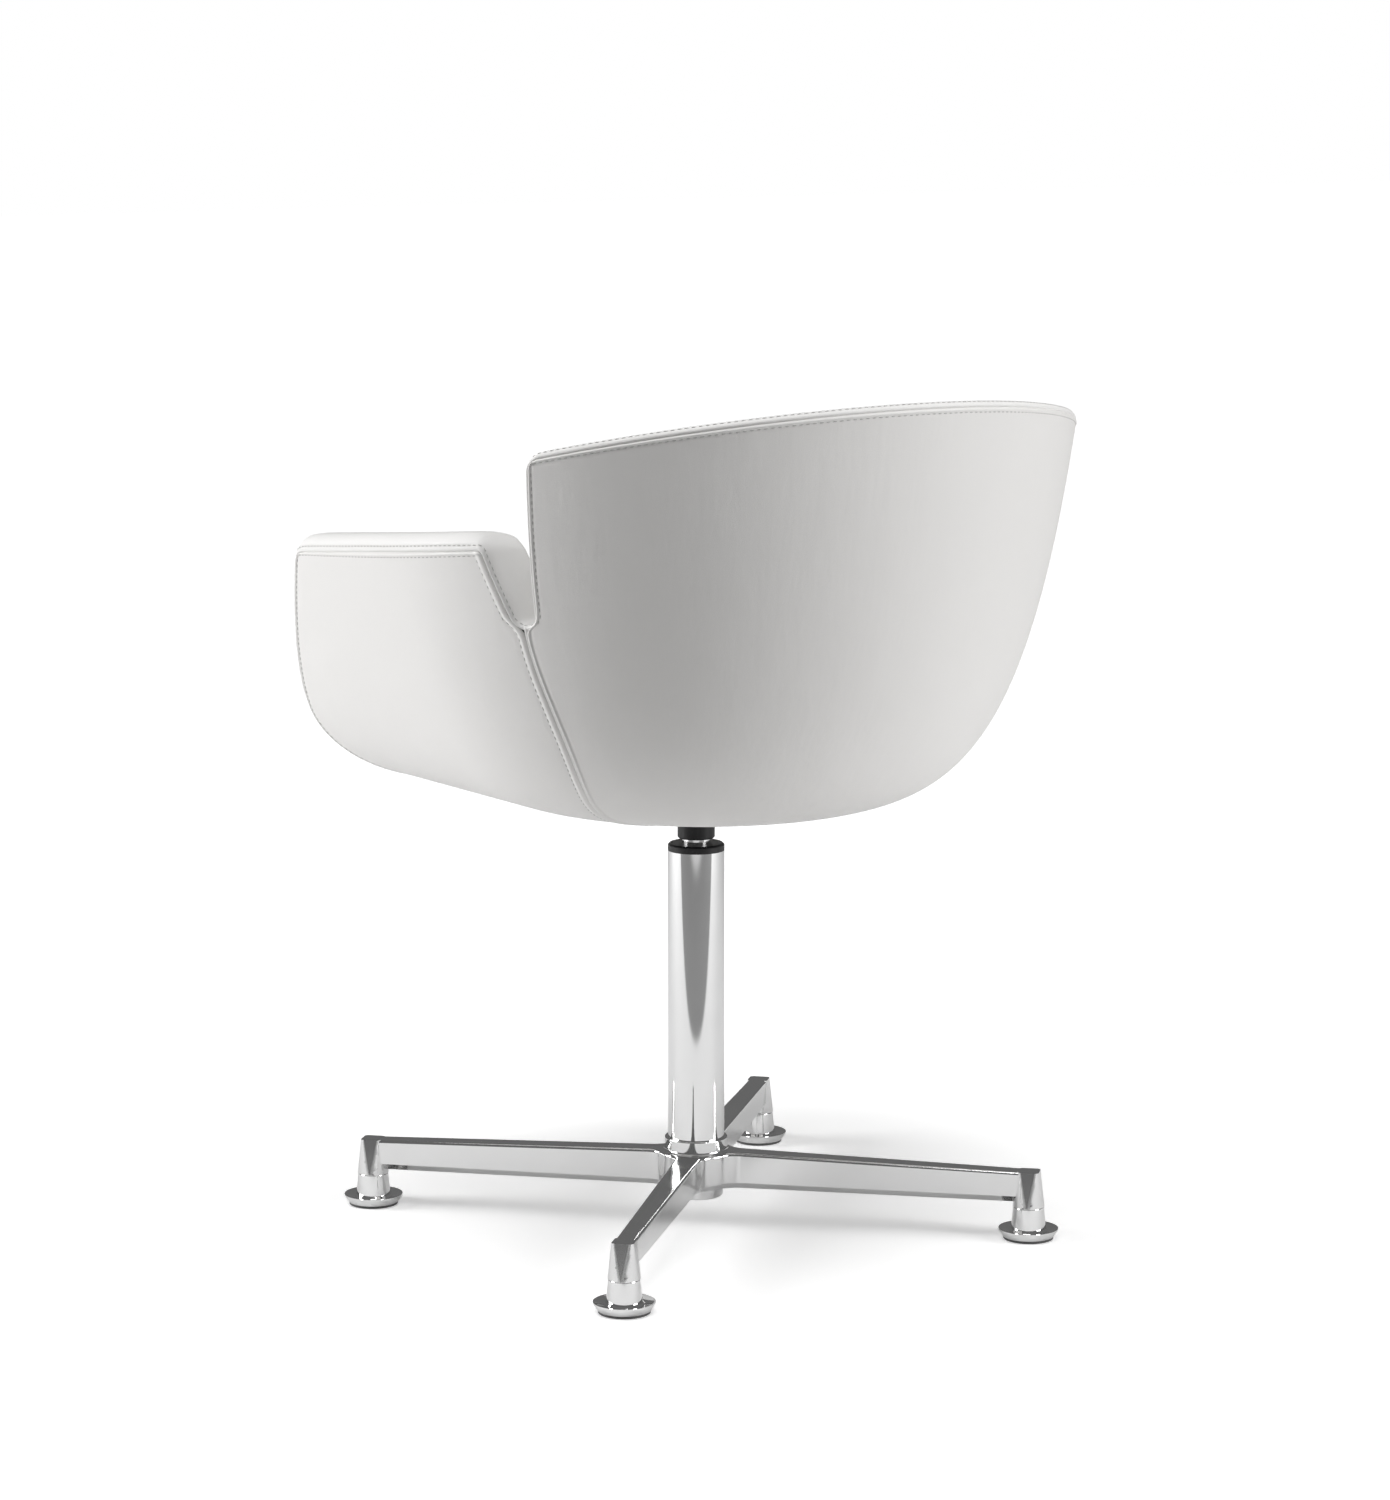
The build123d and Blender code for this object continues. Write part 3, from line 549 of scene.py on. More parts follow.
def sewn_depth(away, stitched):
    """How far the hide lies under the tub's outer face, from its distance to each edge."""
    nearest = np.minimum.reduce(list(away.values()))
    inside = np.clip(ROLL - nearest, 0, ROLL)
    depth = ROLL - np.sqrt(ROLL**2 - inside**2)
    for edge, offset in stitched.items():
        from_bead = (away[edge] - offset * BEAD_AT) / (offset * BEAD_WIDTH)
        depth = depth + THREAD_SINK * np.exp(-(((away[edge] - offset) / THREAD_WIDTH) ** 2))
        depth = depth - BEAD * np.exp(-(from_bead**2))
    return depth


print("panel layout ready")


# %% Making a panel
def laid_grid(name, points):
    """A grid primitive with every vertex moved to its place."""
    rows, columns = points.shape[:2]
    bpy.ops.object.select_all(action="DESELECT")
    bpy.ops.mesh.primitive_grid_add(x_subdivisions=columns - 1, y_subdivisions=rows - 1, size=1.0)
    made = bpy.context.object
    made.name = name
    made.data.name = name
    made.data.vertices.foreach_set("co", np.ascontiguousarray(points, dtype=np.float32).reshape(-1))
    made.data.update()
    return made


def alone(obj):
    bpy.ops.object.select_all(action="DESELECT")
    obj.select_set(True)
    bpy.context.view_layer.objects.active = obj


def finish_with(obj, kind, **settings):
    """Adds one modifier and applies it."""
    alone(obj)
    added = obj.modifiers.new(kind.title(), kind)
    for key, value in settings.items():
        setattr(added, key, value)
    bpy.ops.object.modifier_apply(modifier=added.name)


def dress(obj, finish, fill, *nodes):
    """Finish and body of one leather piece, and hides the nodes it stands for."""
    alone(obj)
    bpy.ops.object.shade_smooth()
    obj.data.materials.clear()
    obj.data.materials.append(finish)
    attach(obj, "seat")
    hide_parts(*nodes)
    print(obj.name, len(obj.data.polygons), "faces")


HIDE = 0.0018
FLIP = np.array([-1.0, 1.0, 1.0])


def sewn_panel(name, grid, stitched, node, mirrored=False):
    """A leather cover laid on the tub, with its thickness, from a grid of plan and section lengths."""
    flat, normals = outer_wall.lay(grid[..., 0], grid[..., 1])
    away = edge_distance(flat)
    points = flat - normals * sewn_depth(away, stitched)[..., None]
    if mirrored:
        points = points[:, ::-1] * FLIP
    panel = laid_grid(name, points)
    finish_with(panel, "SOLIDIFY", thickness=HIDE, offset=-1.0)
    finish_with(panel, "SUBSURF", levels=1, render_levels=1)
    dress(panel, white_leather, 1.0, node)
    return flat, normals, away


print("panel tools ready")

# %% [markdown]
# ## The back cover
# One large piece of hide goes round the back from seam to seam. Its sides run up the side seam, along
# the notch and half round the upper corner, its top follows the rim, and its lower edge is turned
# under the tub. The right half is the left half walked the other way.


# %% Seams as plan and section lengths
def on_wall(line):
    """A line of the side view, as plan and section lengths on the outer face."""
    return np.stack([outer_wall.plan(line[:, 0], line[:, 1]), outer_wall.along(line[:, 1])], axis=1)


def rim_height(y):
    return RIM_RUN[1] + (y - RIM_RUN[0]) * math.tan(math.radians(RIM_RUN[2] - 180))


def rim_at(turn, wall):
    """Height of the rim seam on a wall at a turn round the tub's axis."""
    z = np.full(np.shape(turn), 0.72)
    for _ in range(40):
        z = rim_height(AXIS_Y + wall.radius(z) * np.sin(turn))
    return z


def other_side(line):
    """The same line on the tub's right half, in plan lengths, walked the other way."""
    return np.stack([math.pi * PLAN_R - line[::-1, 0], line[::-1, 1]], axis=1)


UNDER_EDGE = 0.1043


def from_below(line):
    """A side-view line on the wall, with a first point where the cover ends under the tub."""
    laid = on_wall(line)
    return np.concatenate([[[laid[0, 0], UNDER_EDGE]], laid])


SEAM_STEP = 0.004
half_arc = len(back_arc) // 2
notch_rise = between(notch_arc[-1], back_arc[0], SEAM_STEP)
back_seam = np.concatenate([side_seam, notch_arc[notch_foot + 1:], notch_rise, back_arc[:half_arc + 1]])
back_left = from_below(back_seam)
rim_turns = np.linspace(float(on_wall(back_arc[-1:])[0, 0]) / PLAN_R, math.pi / 2, 90)
rim_left = np.stack([rim_turns * PLAN_R, outer_wall.along(rim_at(rim_turns, outer_wall))], axis=1)
rim_left = np.concatenate([on_wall(back_arc[half_arc:-1]), rim_left])
back_top = np.concatenate([rim_left, other_side(rim_left)[1:]])
back_right = other_side(back_left)[::-1]
back_bottom = np.stack([back_left[0], back_right[0]])
print("rim half", len(rim_left), "points, back's edge", len(back_left), "points")

# %% The back cover
CELL = 0.0085
STITCH_IN = 0.0046
BACK_WIDTH, BACK_HEIGHT = 0.72, 0.47
back_across, back_up = fractions(BACK_WIDTH, CELL), fractions(BACK_HEIGHT, CELL)
back_grid = fill_in(back_bottom, back_top, back_left, back_right, back_across, back_up)
back_stitches = {"top": STITCH_IN, "left": STITCH_IN, "right": STITCH_IN}
back_cover = sewn_panel("back_leather", back_grid, back_stitches, "outer_back_cover")

# %% [markdown]
# ## The side covers
# Each side is a smaller piece: its front edge goes up from the floor round the toe, its top runs along
# the arm, and its rear edge drops into the notch and follows the side seam. The left one is laid
# out, and the right one is its mirror image. The thread beside the side seam lies further in.

# %% Side covers, left and then mirrored
TOE_FROM = 0.3819
SEAM_STITCH_IN = 0.0082
SIDE_WIDTH, SIDE_HEIGHT = 0.36, 0.33
front_half = len(front_arc) // 2
corner_half = len(arm_arc) // 2
toe_part = toe_arc[toe_arc[:, 1] > TOE_FROM]
floor_front = [[np.interp(FLOOR_SEAM, toe_arc[:, 1], toe_arc[:, 0]), FLOOR_SEAM]]
front_rise = between(toe_arc[-1], front_arc[0], SEAM_STEP)
arm_top = between(front_arc[-1], arm_arc[0], SEAM_STEP)
notch_fall = between(notch_arc[0], arm_arc[-1], SEAM_STEP)
front_seam = np.concatenate([floor_front, toe_part, front_rise, front_arc[:front_half + 1]])
arm_seam = np.concatenate([front_arc[front_half:], arm_top, arm_arc[:corner_half + 1]])
notch_seam = [side_seam, notch_arc[:notch_foot][::-1], notch_fall, arm_arc[corner_half:][::-1]]
side_left = from_below(front_seam)
side_top = on_wall(arm_seam)
side_right = from_below(np.concatenate(notch_seam))
side_bottom = np.stack([side_left[0], side_right[0]])
side_across, side_up = fractions(SIDE_WIDTH, CELL), fractions(SIDE_HEIGHT, CELL)
side_grid = fill_in(side_bottom, side_top, side_left, side_right, side_across, side_up)
side_stitches = {"top": STITCH_IN, "left": STITCH_IN, "right": SEAM_STITCH_IN}
side_cover = sewn_panel("left_side_leather", side_grid, side_stitches, "outer_left_cover")
sewn_panel("right_side_leather", side_grid, side_stitches, "outer_right_cover", mirrored=True)

# %% [markdown]
# ## The bands along the edge
# A strip of leather is sewn round the tub's edge, over a foam roll: low round the back and the notch,
# plump on the arms. Each is a rail: a rounded section that follows the outer and inner seams. How
# high it stands is read from the engineering outline, so both agree.

# %% How far the bands rise
LEAST_RISE = 0.006
band_arcs, band_end = side_outline(back=0.007, notch=0.005, arm=0.016, front=0.006)
band_outline = np.concatenate([*band_arcs, band_end[None]])


def rise_to(outline, start, way):
    """Distance from a side-view point to an outline, along a direction."""
    a, d = outline[:-1], np.diff(outline, axis=0)
    cross = way[0] * d[:, 1] - way[1] * d[:, 0]
    cross = np.where(np.abs(cross) < 1e-12, 1e-12, cross)
    gap = a - start
    far = (gap[:, 0] * d[:, 1] - gap[:, 1] * d[:, 0]) / cross
    part = (gap[:, 0] * way[1] - gap[:, 1] * way[0]) / cross
    hits = far[(part >= -1e-6) & (part <= 1 + 1e-6) & (far > 0)]
    return float(hits.min()) if len(hits) else LEAST_RISE


def smooth(values, count):
    """Evens out a row of numbers with its neighbours, several times."""
    for _ in range(count):
        wider = np.concatenate([values[:1], values, values[-1:]])
        values = (wider[:-2] + 2 * wider[1:-1] + wider[2:]) / 4
    return values


def rail_frame(outer, inner):
    """Across direction, width and up direction of a band between two seams."""
    along = np.gradient((outer + inner) / 2, axis=0)
    along /= np.linalg.norm(along, axis=1)[:, None]
    over = inner - outer
    width = np.linalg.norm(over, axis=1)
    over /= width[:, None]
    up = np.cross(along, over)
    up /= np.linalg.norm(up, axis=1)[:, None]
    return over, width, up


def band_rise(outer, inner):
    """How high the engineering outline stands over each point of an outer seam."""
    _, _, up = rail_frame(outer, inner)
    return np.array([
        rise_to(band_outline, p[1:], u[1:] / np.linalg.norm(u[1:])) for p, u in zip(outer, up)
    ])


arm_rise = rise_to(band_outline, np.array(ARM_RUN[:2]), np.array([0.0, 1.0]))
print("band rise on the arm", round(arm_rise, 4))

# %% [markdown]
# ## A rounded roll
# The section of a roll is a full oval, or a plain bow where the leather is only pulled over an edge. Its
# two sides turn in at the seams, and a shallow groove takes the thread, low on a plump roll and high
# on a thin one. Rings of that section are joined along the seams and capped at both ends.

# %% The section of a roll
RING = np.array([0.0, 0.06, 0.13, 0.20, 0.26, 0.32, 0.38, 0.46, 0.55, 0.62, 0.68, 0.74, 0.82, 0.90, 0.96])
EDGE_ROLL = 0.0018
FOOT_DROP = 0.0012
THIN_ROW = 0.68
PLUMP_ROW = 0.32
GROOVE = 0.0008
GROOVE_WIDTH = 0.035
PLUMP_FROM, PLUMP_OVER = 0.009, 0.003
PLUMP_UP, THIN_UP = 0.25, 0.55
UNDER_PLACES = (0.8, 0.5, 0.2)


def reach_at(lift, width, height, fullness, bowed):
    """Reach of a roll's section from its middle, in half widths: a full oval, or a plain bow."""
    half, crest = width[:, None] / 2, height[:, None]
    share = np.broadcast_to(bowed, width.shape)[:, None]
    full = np.clip(1 - lift**fullness, 0, 1) ** (1 / fullness)
    radius = (half**2 + crest**2) / (2 * crest)
    bow = np.sqrt(np.clip(radius**2 - (radius - crest + crest * lift) ** 2, 0, None)) / half
    return full * (1 - share) + bow * share


def closed_roll(name, points):
    """A grid whose rows are closed rings, joined along its length and capped at both ends."""
    roll = laid_grid(name, points)
    bpy.ops.object.mode_set(mode="EDIT")
    bpy.ops.mesh.select_all(action="SELECT")
    bpy.ops.mesh.remove_doubles(threshold=1e-6)
    bpy.ops.mesh.select_all(action="DESELECT")
    bpy.ops.mesh.select_non_manifold()
    bpy.ops.mesh.fill_holes(sides=0)
    bpy.ops.mesh.select_all(action="SELECT")
    bpy.ops.mesh.normals_make_consistent(inside=False)
    bpy.ops.object.mode_set(mode="OBJECT")
    finish_with(roll, "SUBSURF", levels=1, render_levels=1)
    return roll


def rail(name, outer, inner, height, fullness, node, bowed=0.0, mirrored=False):
    """A rounded leather roll between two seams; gives the line its thread follows."""
    over, width, up = rail_frame(outer, inner)
    plump = np.clip((height - PLUMP_FROM) / PLUMP_OVER, 0, 1)
    lift = np.concatenate([RING, [1.0], RING[::-1]])
    side = np.concatenate([np.ones(len(RING)), [0.0], -np.ones(len(RING))])
    a = width[:, None] / 2 * (1 - side * reach_at(lift[None], width, height, fullness, bowed))
    b = height[:, None] * lift[None]
    row = (THIN_ROW + (PLUMP_ROW - THIN_ROW) * smooth(plump, 6))[:, None]
    pulled_in = GROOVE * np.exp(-(((lift[None] - row) / GROOVE_WIDTH) ** 2))
    near = np.clip(EDGE_ROLL - b, 0, EDGE_ROLL)
    turned_in = EDGE_ROLL - np.sqrt(EDGE_ROLL**2 - near**2)
    a = a + (pulled_in + turned_in) * side[None]
    foot = np.full((len(width), 1), EDGE_ROLL)
    under = np.stack([width - EDGE_ROLL] + [width * place for place in UNDER_PLACES], axis=1)
    a = np.concatenate([foot, a, under, foot], axis=1)
    below = np.full((len(width), under.shape[1] + 1), -FOOT_DROP)
    b = np.concatenate([below[:, :1], b, below], axis=1)
    points = outer[:, None] + over[:, None] * a[..., None] + up[:, None] * b[..., None]
    if mirrored:
        points = points * FLIP
    dress(closed_roll(name, points), edge_leather, 0.9, node)
    in_from = width[:, None] / 2 * (1 - reach_at(row, width, height, fullness, bowed))
    thread = outer + over * in_from + up * height[:, None] * row
    facing = up * (PLUMP_UP + THIN_UP * (1 - plump))[:, None] - over
    return thread, facing / np.linalg.norm(facing, axis=1)[:, None]


def side_points(line, wall):
    """A side-view line as points on a wall."""
    points, _ = wall.lay(wall.plan(line[:, 0], line[:, 1]), wall.along(line[:, 1]))
    return points


print("roll tools ready")

# %% [markdown]
# ## The arm rolls
# An arm's roll starts beside the front lip, goes round the toe and up the leading edge, runs along the
# arm and ends in the notch's foot. Low at the toe it is a plain bow that stands a little out, so the
# chair keeps a clean lower corner.

# %% The front edge, shared by arm rolls and front lip
LEVEL_FROM, LEVEL_OVER = 0.44, 0.12
edge_line = np.concatenate([toe_arc[toe_arc[:, 1] > FLOOR_SEAM], front_arc[:1]])


def front_edge(lengths):
    """Outer and inner seam along the front, from the floor's middle up the arm's leading edge."""
    samples = np.interp(lengths, outer_wall.length, np.arange(len(outer_wall.length)))
    r_out, z_out = outer_wall.at(lengths)
    index = np.arange(len(inner_wall.line))
    r_in = np.interp(samples, index, inner_wall.line[:, 0])
    z_in = np.interp(samples, index, inner_wall.line[:, 1])
    z_in = z_in + (z_out - z_in) * eased((z_out - LEVEL_FROM) / LEVEL_OVER)
    s_in = inner_wall.along(z_in)
    r_in = np.where(z_in > inner_wall.line[inner_wall.first, 1] + 1e-5, inner_wall.at(s_in)[0], r_in)
    y_out = np.interp(z_out, edge_line[:, 1], edge_line[:, 0])
    y_in = np.interp(z_in, edge_line[:, 1], edge_line[:, 0])
    return np.stack([r_out, y_out, z_out], axis=1), np.stack([r_in, y_in, z_in], axis=1)


print("front edge", len(edge_line), "points")

# %% The arm rolls
ARM_FROM = 0.1503
ARM_FULLNESS = 2.7
TOE_RISE = 0.0150
TOE_TOP, TOE_FADE = 0.455, 0.06
BOW_TOP, BOW_FADE = 0.470, 0.05
top_length = float(outer_wall.along(front_arc[0, 1]))
front_out, front_in = front_edge(np.linspace(ARM_FROM, top_length, 62))
arm_line = np.concatenate([
    front_arc[1:],
    between(front_arc[-1], arm_arc[0], 0.006),
    arm_arc[::2],
    between(arm_arc[-1], notch_arc[0], 0.005),
    notch_arc[notch_foot % 2:notch_foot + 1:2],
])
arm_outer = np.concatenate([front_out, side_points(arm_line, outer_wall)])
arm_inner = np.concatenate([front_in, side_points(arm_line, inner_wall)])
toe_share = np.clip((TOE_TOP - arm_outer[:, 2]) / TOE_FADE, 0, 1)
arm_height = band_rise(arm_outer, arm_inner)
arm_height = smooth(arm_height * (1 - toe_share) + TOE_RISE * toe_share, 3)
toe_bow = smooth(eased((BOW_TOP - arm_outer[:, 2]) / BOW_FADE), 2)
arm_roll = (arm_outer, arm_inner, arm_height, ARM_FULLNESS)
arm_sewing = rail("left_arm_roll", *arm_roll, "left_arm_band", toe_bow)
rail("right_arm_roll", *arm_roll, "right_arm_band", toe_bow, mirrored=True)
print("arm band height", arm_height.min().round(4), arm_height.max().round(4))

# %% [markdown]
# ## The front lip
# Between the two arm rolls, a straight strip covers the front edge of the tub's floor. It has the bow
# of the toes beside it, and stops half a millimetre short of them, where the strips are sewn together.

# %% The front band
LIP_TO = 0.1497
LIP_FULLNESS = 2.4
lip_half, lip_in = front_edge(np.linspace(0.0, LIP_TO, 28))
lip_outer = np.concatenate([(lip_half * FLIP)[::-1], lip_half[1:]])
lip_inner = np.concatenate([(lip_in * FLIP)[::-1], lip_in[1:]])
rail("front_lip", lip_outer, lip_inner, np.full(len(lip_outer), TOE_RISE), LIP_FULLNESS, "front_band", 1.0)

# %% [markdown]
# ## The rim roll
# One roll goes up from the notch, round the upper corner, along the rim and down the other side. The
# inner seam first follows the side view, as the notch does, and then turns to follow the tub's axis.
# Its lower ends are tucked over the arm rolls' ends, so no gap shows in the notch.

# %% The back band
TUCK = 3
RIM_FULLNESS = 3.2
RIM_LOW, RIM_HIGH = 0.0045, 0.0085
TURN_IN = math.radians(28)
notch_up = np.concatenate([
    notch_arc[notch_foot - TUCK::2],
    between(notch_arc[-1], back_arc[0], 0.005),
    back_arc[:-1],
])
turns = np.linspace(rim_turns[0], math.pi / 2, 80)
rim_outer, _ = outer_wall.lay(turns * PLAN_R, outer_wall.along(rim_at(turns, outer_wall)))
straight = inner_wall.plan(rim_outer[:, 1], rim_outer[:, 2]) / PLAN_R
share = eased((turns - turns[0]) / TURN_IN)
inner_turns = straight * (1 - share) + turns * share
rim_inner, _ = inner_wall.lay(inner_turns * PLAN_R, inner_wall.along(rim_at(inner_turns, inner_wall)))
half_outer = np.concatenate([side_points(notch_up, outer_wall), rim_outer])
half_inner = np.concatenate([side_points(notch_up, inner_wall), rim_inner])
back_outer = np.concatenate([half_outer, (half_outer * FLIP)[::-1][1:]])
back_inner = np.concatenate([half_inner, (half_inner * FLIP)[::-1][1:]])
back_height = smooth(np.clip(band_rise(back_outer, back_inner), RIM_LOW, RIM_HIGH), 3)
rim_sewing = rail("back_rim_roll", back_outer, back_inner, back_height, RIM_FULLNESS, "back_band")
print("back band height", back_height.min().round(4), back_height.max().round(4))

# %% [markdown]
# ## The welts in the side seams
# Where back and side leather meet, a thin rolled strip is sewn in between. It fills the groove, shows as
# a light ridge between two dark lines, and its upper end is tucked under the bands in the notch.

# %% The welts
WELT_R = 0.0019
WELT_SINK = 0.0019
TUCKED_UP = 0.0030
welt_line = from_below(side_seam)
welt_line = dense(np.concatenate([welt_line, welt_line[-1:] + [[0.0, TUCKED_UP]]]), SEAM_STEP)
welt_path, welt_out = outer_wall.lay(welt_line[:, 0], welt_line[:, 1])
welt_path = welt_path - welt_out * WELT_SINK
welt_across = np.cross(np.gradient(welt_path, axis=0), welt_out)
welt_across /= np.linalg.norm(welt_across, axis=1)[:, None]
ring = np.linspace(0, 2 * math.pi, 11)[None, :, None]
welt_points = welt_path[:, None] + WELT_R * (
    welt_out[:, None] * np.cos(ring) + welt_across[:, None] * np.sin(ring)
)
for name, points in (("left_seam_welt", welt_points), ("right_seam_welt", welt_points * FLIP)):
    welt = closed_roll(name, points)
    alone(welt)
    bpy.ops.object.shade_smooth()
    welt.data.materials.append(edge_leather)
    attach(welt, "seat")
    print(name, len(welt.data.polygons), "faces")

# %% [markdown]
# ## Sewing
# Both sides of each seam are top-stitched. One stitch is a short length of thread pulled down at both
# ends. It is modelled once from a ball and copied along the seams at the pitch seen in the photograph.

# %% One stitch
THREAD_R = 0.00045
STITCH_SHAPE = np.array([4.4, 1.0, 0.8])
STITCH_HALF = 0.002
END_SINK = 0.00035
bpy.ops.object.select_all(action="DESELECT")
bpy.ops.mesh.primitive_uv_sphere_add(segments=8, ring_count=6, radius=THREAD_R)
stitch = bpy.context.object
stitch_points = np.empty(len(stitch.data.vertices) * 3)
stitch.data.vertices.foreach_get("co", stitch_points)
stitch_points = stitch_points.reshape(-1, 3) * STITCH_SHAPE
stitch_points[:, 2] -= END_SINK * (stitch_points[:, 0] / STITCH_HALF) ** 2
stitch_faces = [tuple(face.vertices) for face in stitch.data.polygons]
bpy.data.objects.remove(stitch)
print("one stitch", len(stitch_faces), "faces")

# %% Rows of stitches
STITCH_PITCH = 0.0057
LOOK_AHEAD = 0.001
THREAD_LIFT = 0.0002
THREAD_IN = 0.0003


def sew(name, lines):
    """Stitches along several lines of points and normals, as one piece."""
    corners, faces = [], []
    for points, normals in lines:
        size = run_length(points)
        for place in np.arange(STITCH_PITCH / 2, size[-1] - STITCH_PITCH / 2, STITCH_PITCH):
            here = read_at(points, size, place)
            way = read_at(points, size, place + LOOK_AHEAD) - here
            way = way / np.linalg.norm(way)
            normal = read_at(normals, size, place)
            normal = normal - way * (normal @ way)
            normal /= np.linalg.norm(normal)
            turn = np.stack([way, np.cross(normal, way), normal])
            first = len(corners) * len(stitch_points)
            corners.append(stitch_points @ turn + here + normal * THREAD_LIFT)
            faces.extend(tuple(v + first for v in face) for face in stitch_faces)
    mesh = bpy.data.meshes.new(name)
    mesh.from_pydata(np.concatenate(corners).tolist(), [], faces)
    row = bpy.data.objects.new(name, mesh)
    bpy.context.scene.collection.objects.link(row)
    alone(row)
    bpy.ops.object.shade_smooth()
    mesh.materials.append(thread_finish)
    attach(row, "seat")
    print(name, len(corners), "stitches")


def beside(cover, edge, stitched):
    """The line on a cover beside one of its edges, where the thread lies."""
    flat, normals, away = cover
    offset = stitched[edge]
    rows_first = edge in ("left", "right")
    places, facings = [], []
    for k in range(flat.shape[0] if rows_first else flat.shape[1]):
        cut = (k, slice(None)) if rows_first else (slice(None), k)
        order = np.argsort(away[edge][cut])
        size = away[edge][cut][order]
        spot = read_at(flat[cut][order], size, offset)
        facing = read_at(normals[cut][order], size, offset)
        clear = [np.interp(offset, size, away[e][cut][order]) for e in away if e != edge]
        if min(clear) >= min(stitched.values()) * 0.98:
            places.append(spot - facing * THREAD_IN)
            facings.append(facing)
    return np.array(places), np.array(facings)


def sewn_edges(cover, stitched):
    """The thread lines beside a cover's left, top and right edges."""
    return [beside(cover, edge, stitched) for edge in ("left", "top", "right")]


print("sewing tools ready")

# %% [markdown]
# ## Where the thread runs
# On the back, the rows start just above the notch's foot and go up and along the rim. Each side cover is
# sewn along its front, its top and its rear seam. The rolls carry a row of their own.

# %% Thread on the covers and bands
THREAD_FROM = 0.568
left_row, top_row, right_row = sewn_edges(back_cover, back_stitches)
above = left_row[0][:, 2] > THREAD_FROM
left_row, right_row = [[part[above] for part in row] for row in (left_row, right_row)]
sew("back_thread", [left_row, top_row, right_row, rim_sewing])
arm_rows = sewn_edges(side_cover, side_stitches) + [arm_sewing]
sew("left_arm_thread", arm_rows)
sew("right_arm_thread", [(points * FLIP, normals * FLIP) for points, normals in arm_rows])

# %% [markdown]
# ## Pads and seat cushion
# Inside the tub, foam pads carry the back and the arms, and a crowned cushion fills the seat. Each
# starts from the engineering solid, a little smaller, and is blown up by a short cloth simulation, so the
# skin is tight over soft corners. A cap keeps every point near where the foam holds it.

# %% Blowing up a skin
FACES_UP = 0.45
CLOTH_FRAMES = 20
CLOTH_SETTINGS = {
    "quality": 4,
    "mass": 0.3,
    "tension_stiffness": 12,
    "compression_stiffness": 12,
    "bending_stiffness": 0.6,
    "use_pressure": True,
    "uniform_pressure_force": 4.0,
}


def read_points(mesh):
    points = np.empty(len(mesh.vertices) * 3, dtype=np.float32)
    mesh.vertices.foreach_get("co", points)
    return points.reshape(-1, 3)


def swell(pad, cap):
    """Blows a closed skin up by pressure, and moves no point further than the cap."""
    start = read_points(pad.data)
    cloth = pad.modifiers.new("Cloth", "CLOTH")
    for key, value in CLOTH_SETTINGS.items():
        setattr(cloth.settings, key, value)
    cloth.settings.effector_weights.gravity = 0.0
    cloth.point_cache.frame_start = 1
    cloth.point_cache.frame_end = CLOTH_FRAMES
    for step in range(1, CLOTH_FRAMES + 1):
        bpy.context.scene.frame_set(step)
    end = read_points(pad.evaluated_get(bpy.context.evaluated_depsgraph_get()).data)
    pad.modifiers.clear()
    bpy.context.scene.frame_set(1)
    move = end - start
    size = np.linalg.norm(move, axis=1)[:, None]
    move = move * np.minimum(1.0, cap / np.maximum(size, 1e-9))
    pad.data.vertices.foreach_set("co", (start + move).reshape(-1))
    pad.data.update()
    print(pad.name, "swelled", float(np.minimum(size, cap).mean().round(4)))


def even_top(pad, repeat):
    """Evens out the height of a cushion's upper face, and leaves its outline alone."""
    for corner in pad.data.vertices:
        corner.select = corner.normal.z > FACES_UP
    alone(pad)
    bpy.ops.object.mode_set(mode="EDIT")
    bpy.ops.mesh.vertices_smooth(factor=0.5, repeat=repeat, xaxis=False, yaxis=False)
    bpy.ops.object.mode_set(mode="OBJECT")


print("cloth tools ready")


# %% Stuffing a piece
def stuffed(name, node, shrink, cap, voxel, fill, evened=0):
    """A padded piece that stands for a soft node: remeshed, shrunk, blown up and smoothed."""
    pad = bpy.data.objects.new(name, frame["nodes"][node].data.copy())
    bpy.context.scene.collection.objects.link(pad)
    alone(pad)
    bpy.ops.object.mode_set(mode="EDIT")
    bpy.ops.mesh.select_all(action="SELECT")
    bpy.ops.mesh.remove_doubles(threshold=0.00005)
    bpy.ops.object.mode_set(mode="OBJECT")
    pad.data.remesh_voxel_size = voxel
    bpy.ops.object.voxel_remesh()
    # The remesh keeps the solid's own normals, which would show as streaks on the new skin.
    bpy.ops.mesh.customdata_custom_splitnormals_clear()
    for extra in [layer.name for layer in pad.data.attributes if not layer.is_required]:
        pad.data.attributes.remove(pad.data.attributes[extra])
    bpy.ops.object.mode_set(mode="EDIT")
    bpy.ops.mesh.select_all(action="SELECT")
    bpy.ops.mesh.vertices_smooth(factor=0.5, repeat=12)
    bpy.ops.transform.shrink_fatten(value=-shrink)
    bpy.ops.object.mode_set(mode="OBJECT")
    swell(pad, cap)
    bpy.ops.object.mode_set(mode="EDIT")
    bpy.ops.mesh.select_all(action="SELECT")
    bpy.ops.mesh.vertices_smooth(factor=0.5, repeat=6)
    bpy.ops.mesh.select_all(action="DESELECT")
    bpy.ops.object.mode_set(mode="OBJECT")
    if evened:
        even_top(pad, evened)
    dress(pad, white_leather, fill, node)


stuffed("back_pad", "inner_back_pad", 0.0025, 0.006, 0.005, 0.9)
stuffed("left_arm_cushion", "left_arm_pad", 0.0025, 0.006, 0.005, 0.9)
stuffed("right_arm_cushion", "right_arm_pad", 0.0025, 0.006, 0.005, 0.9)
stuffed("seat_pad", "seat_cushion", 0.0030, 0.008, 0.006, 0.85, evened=60)

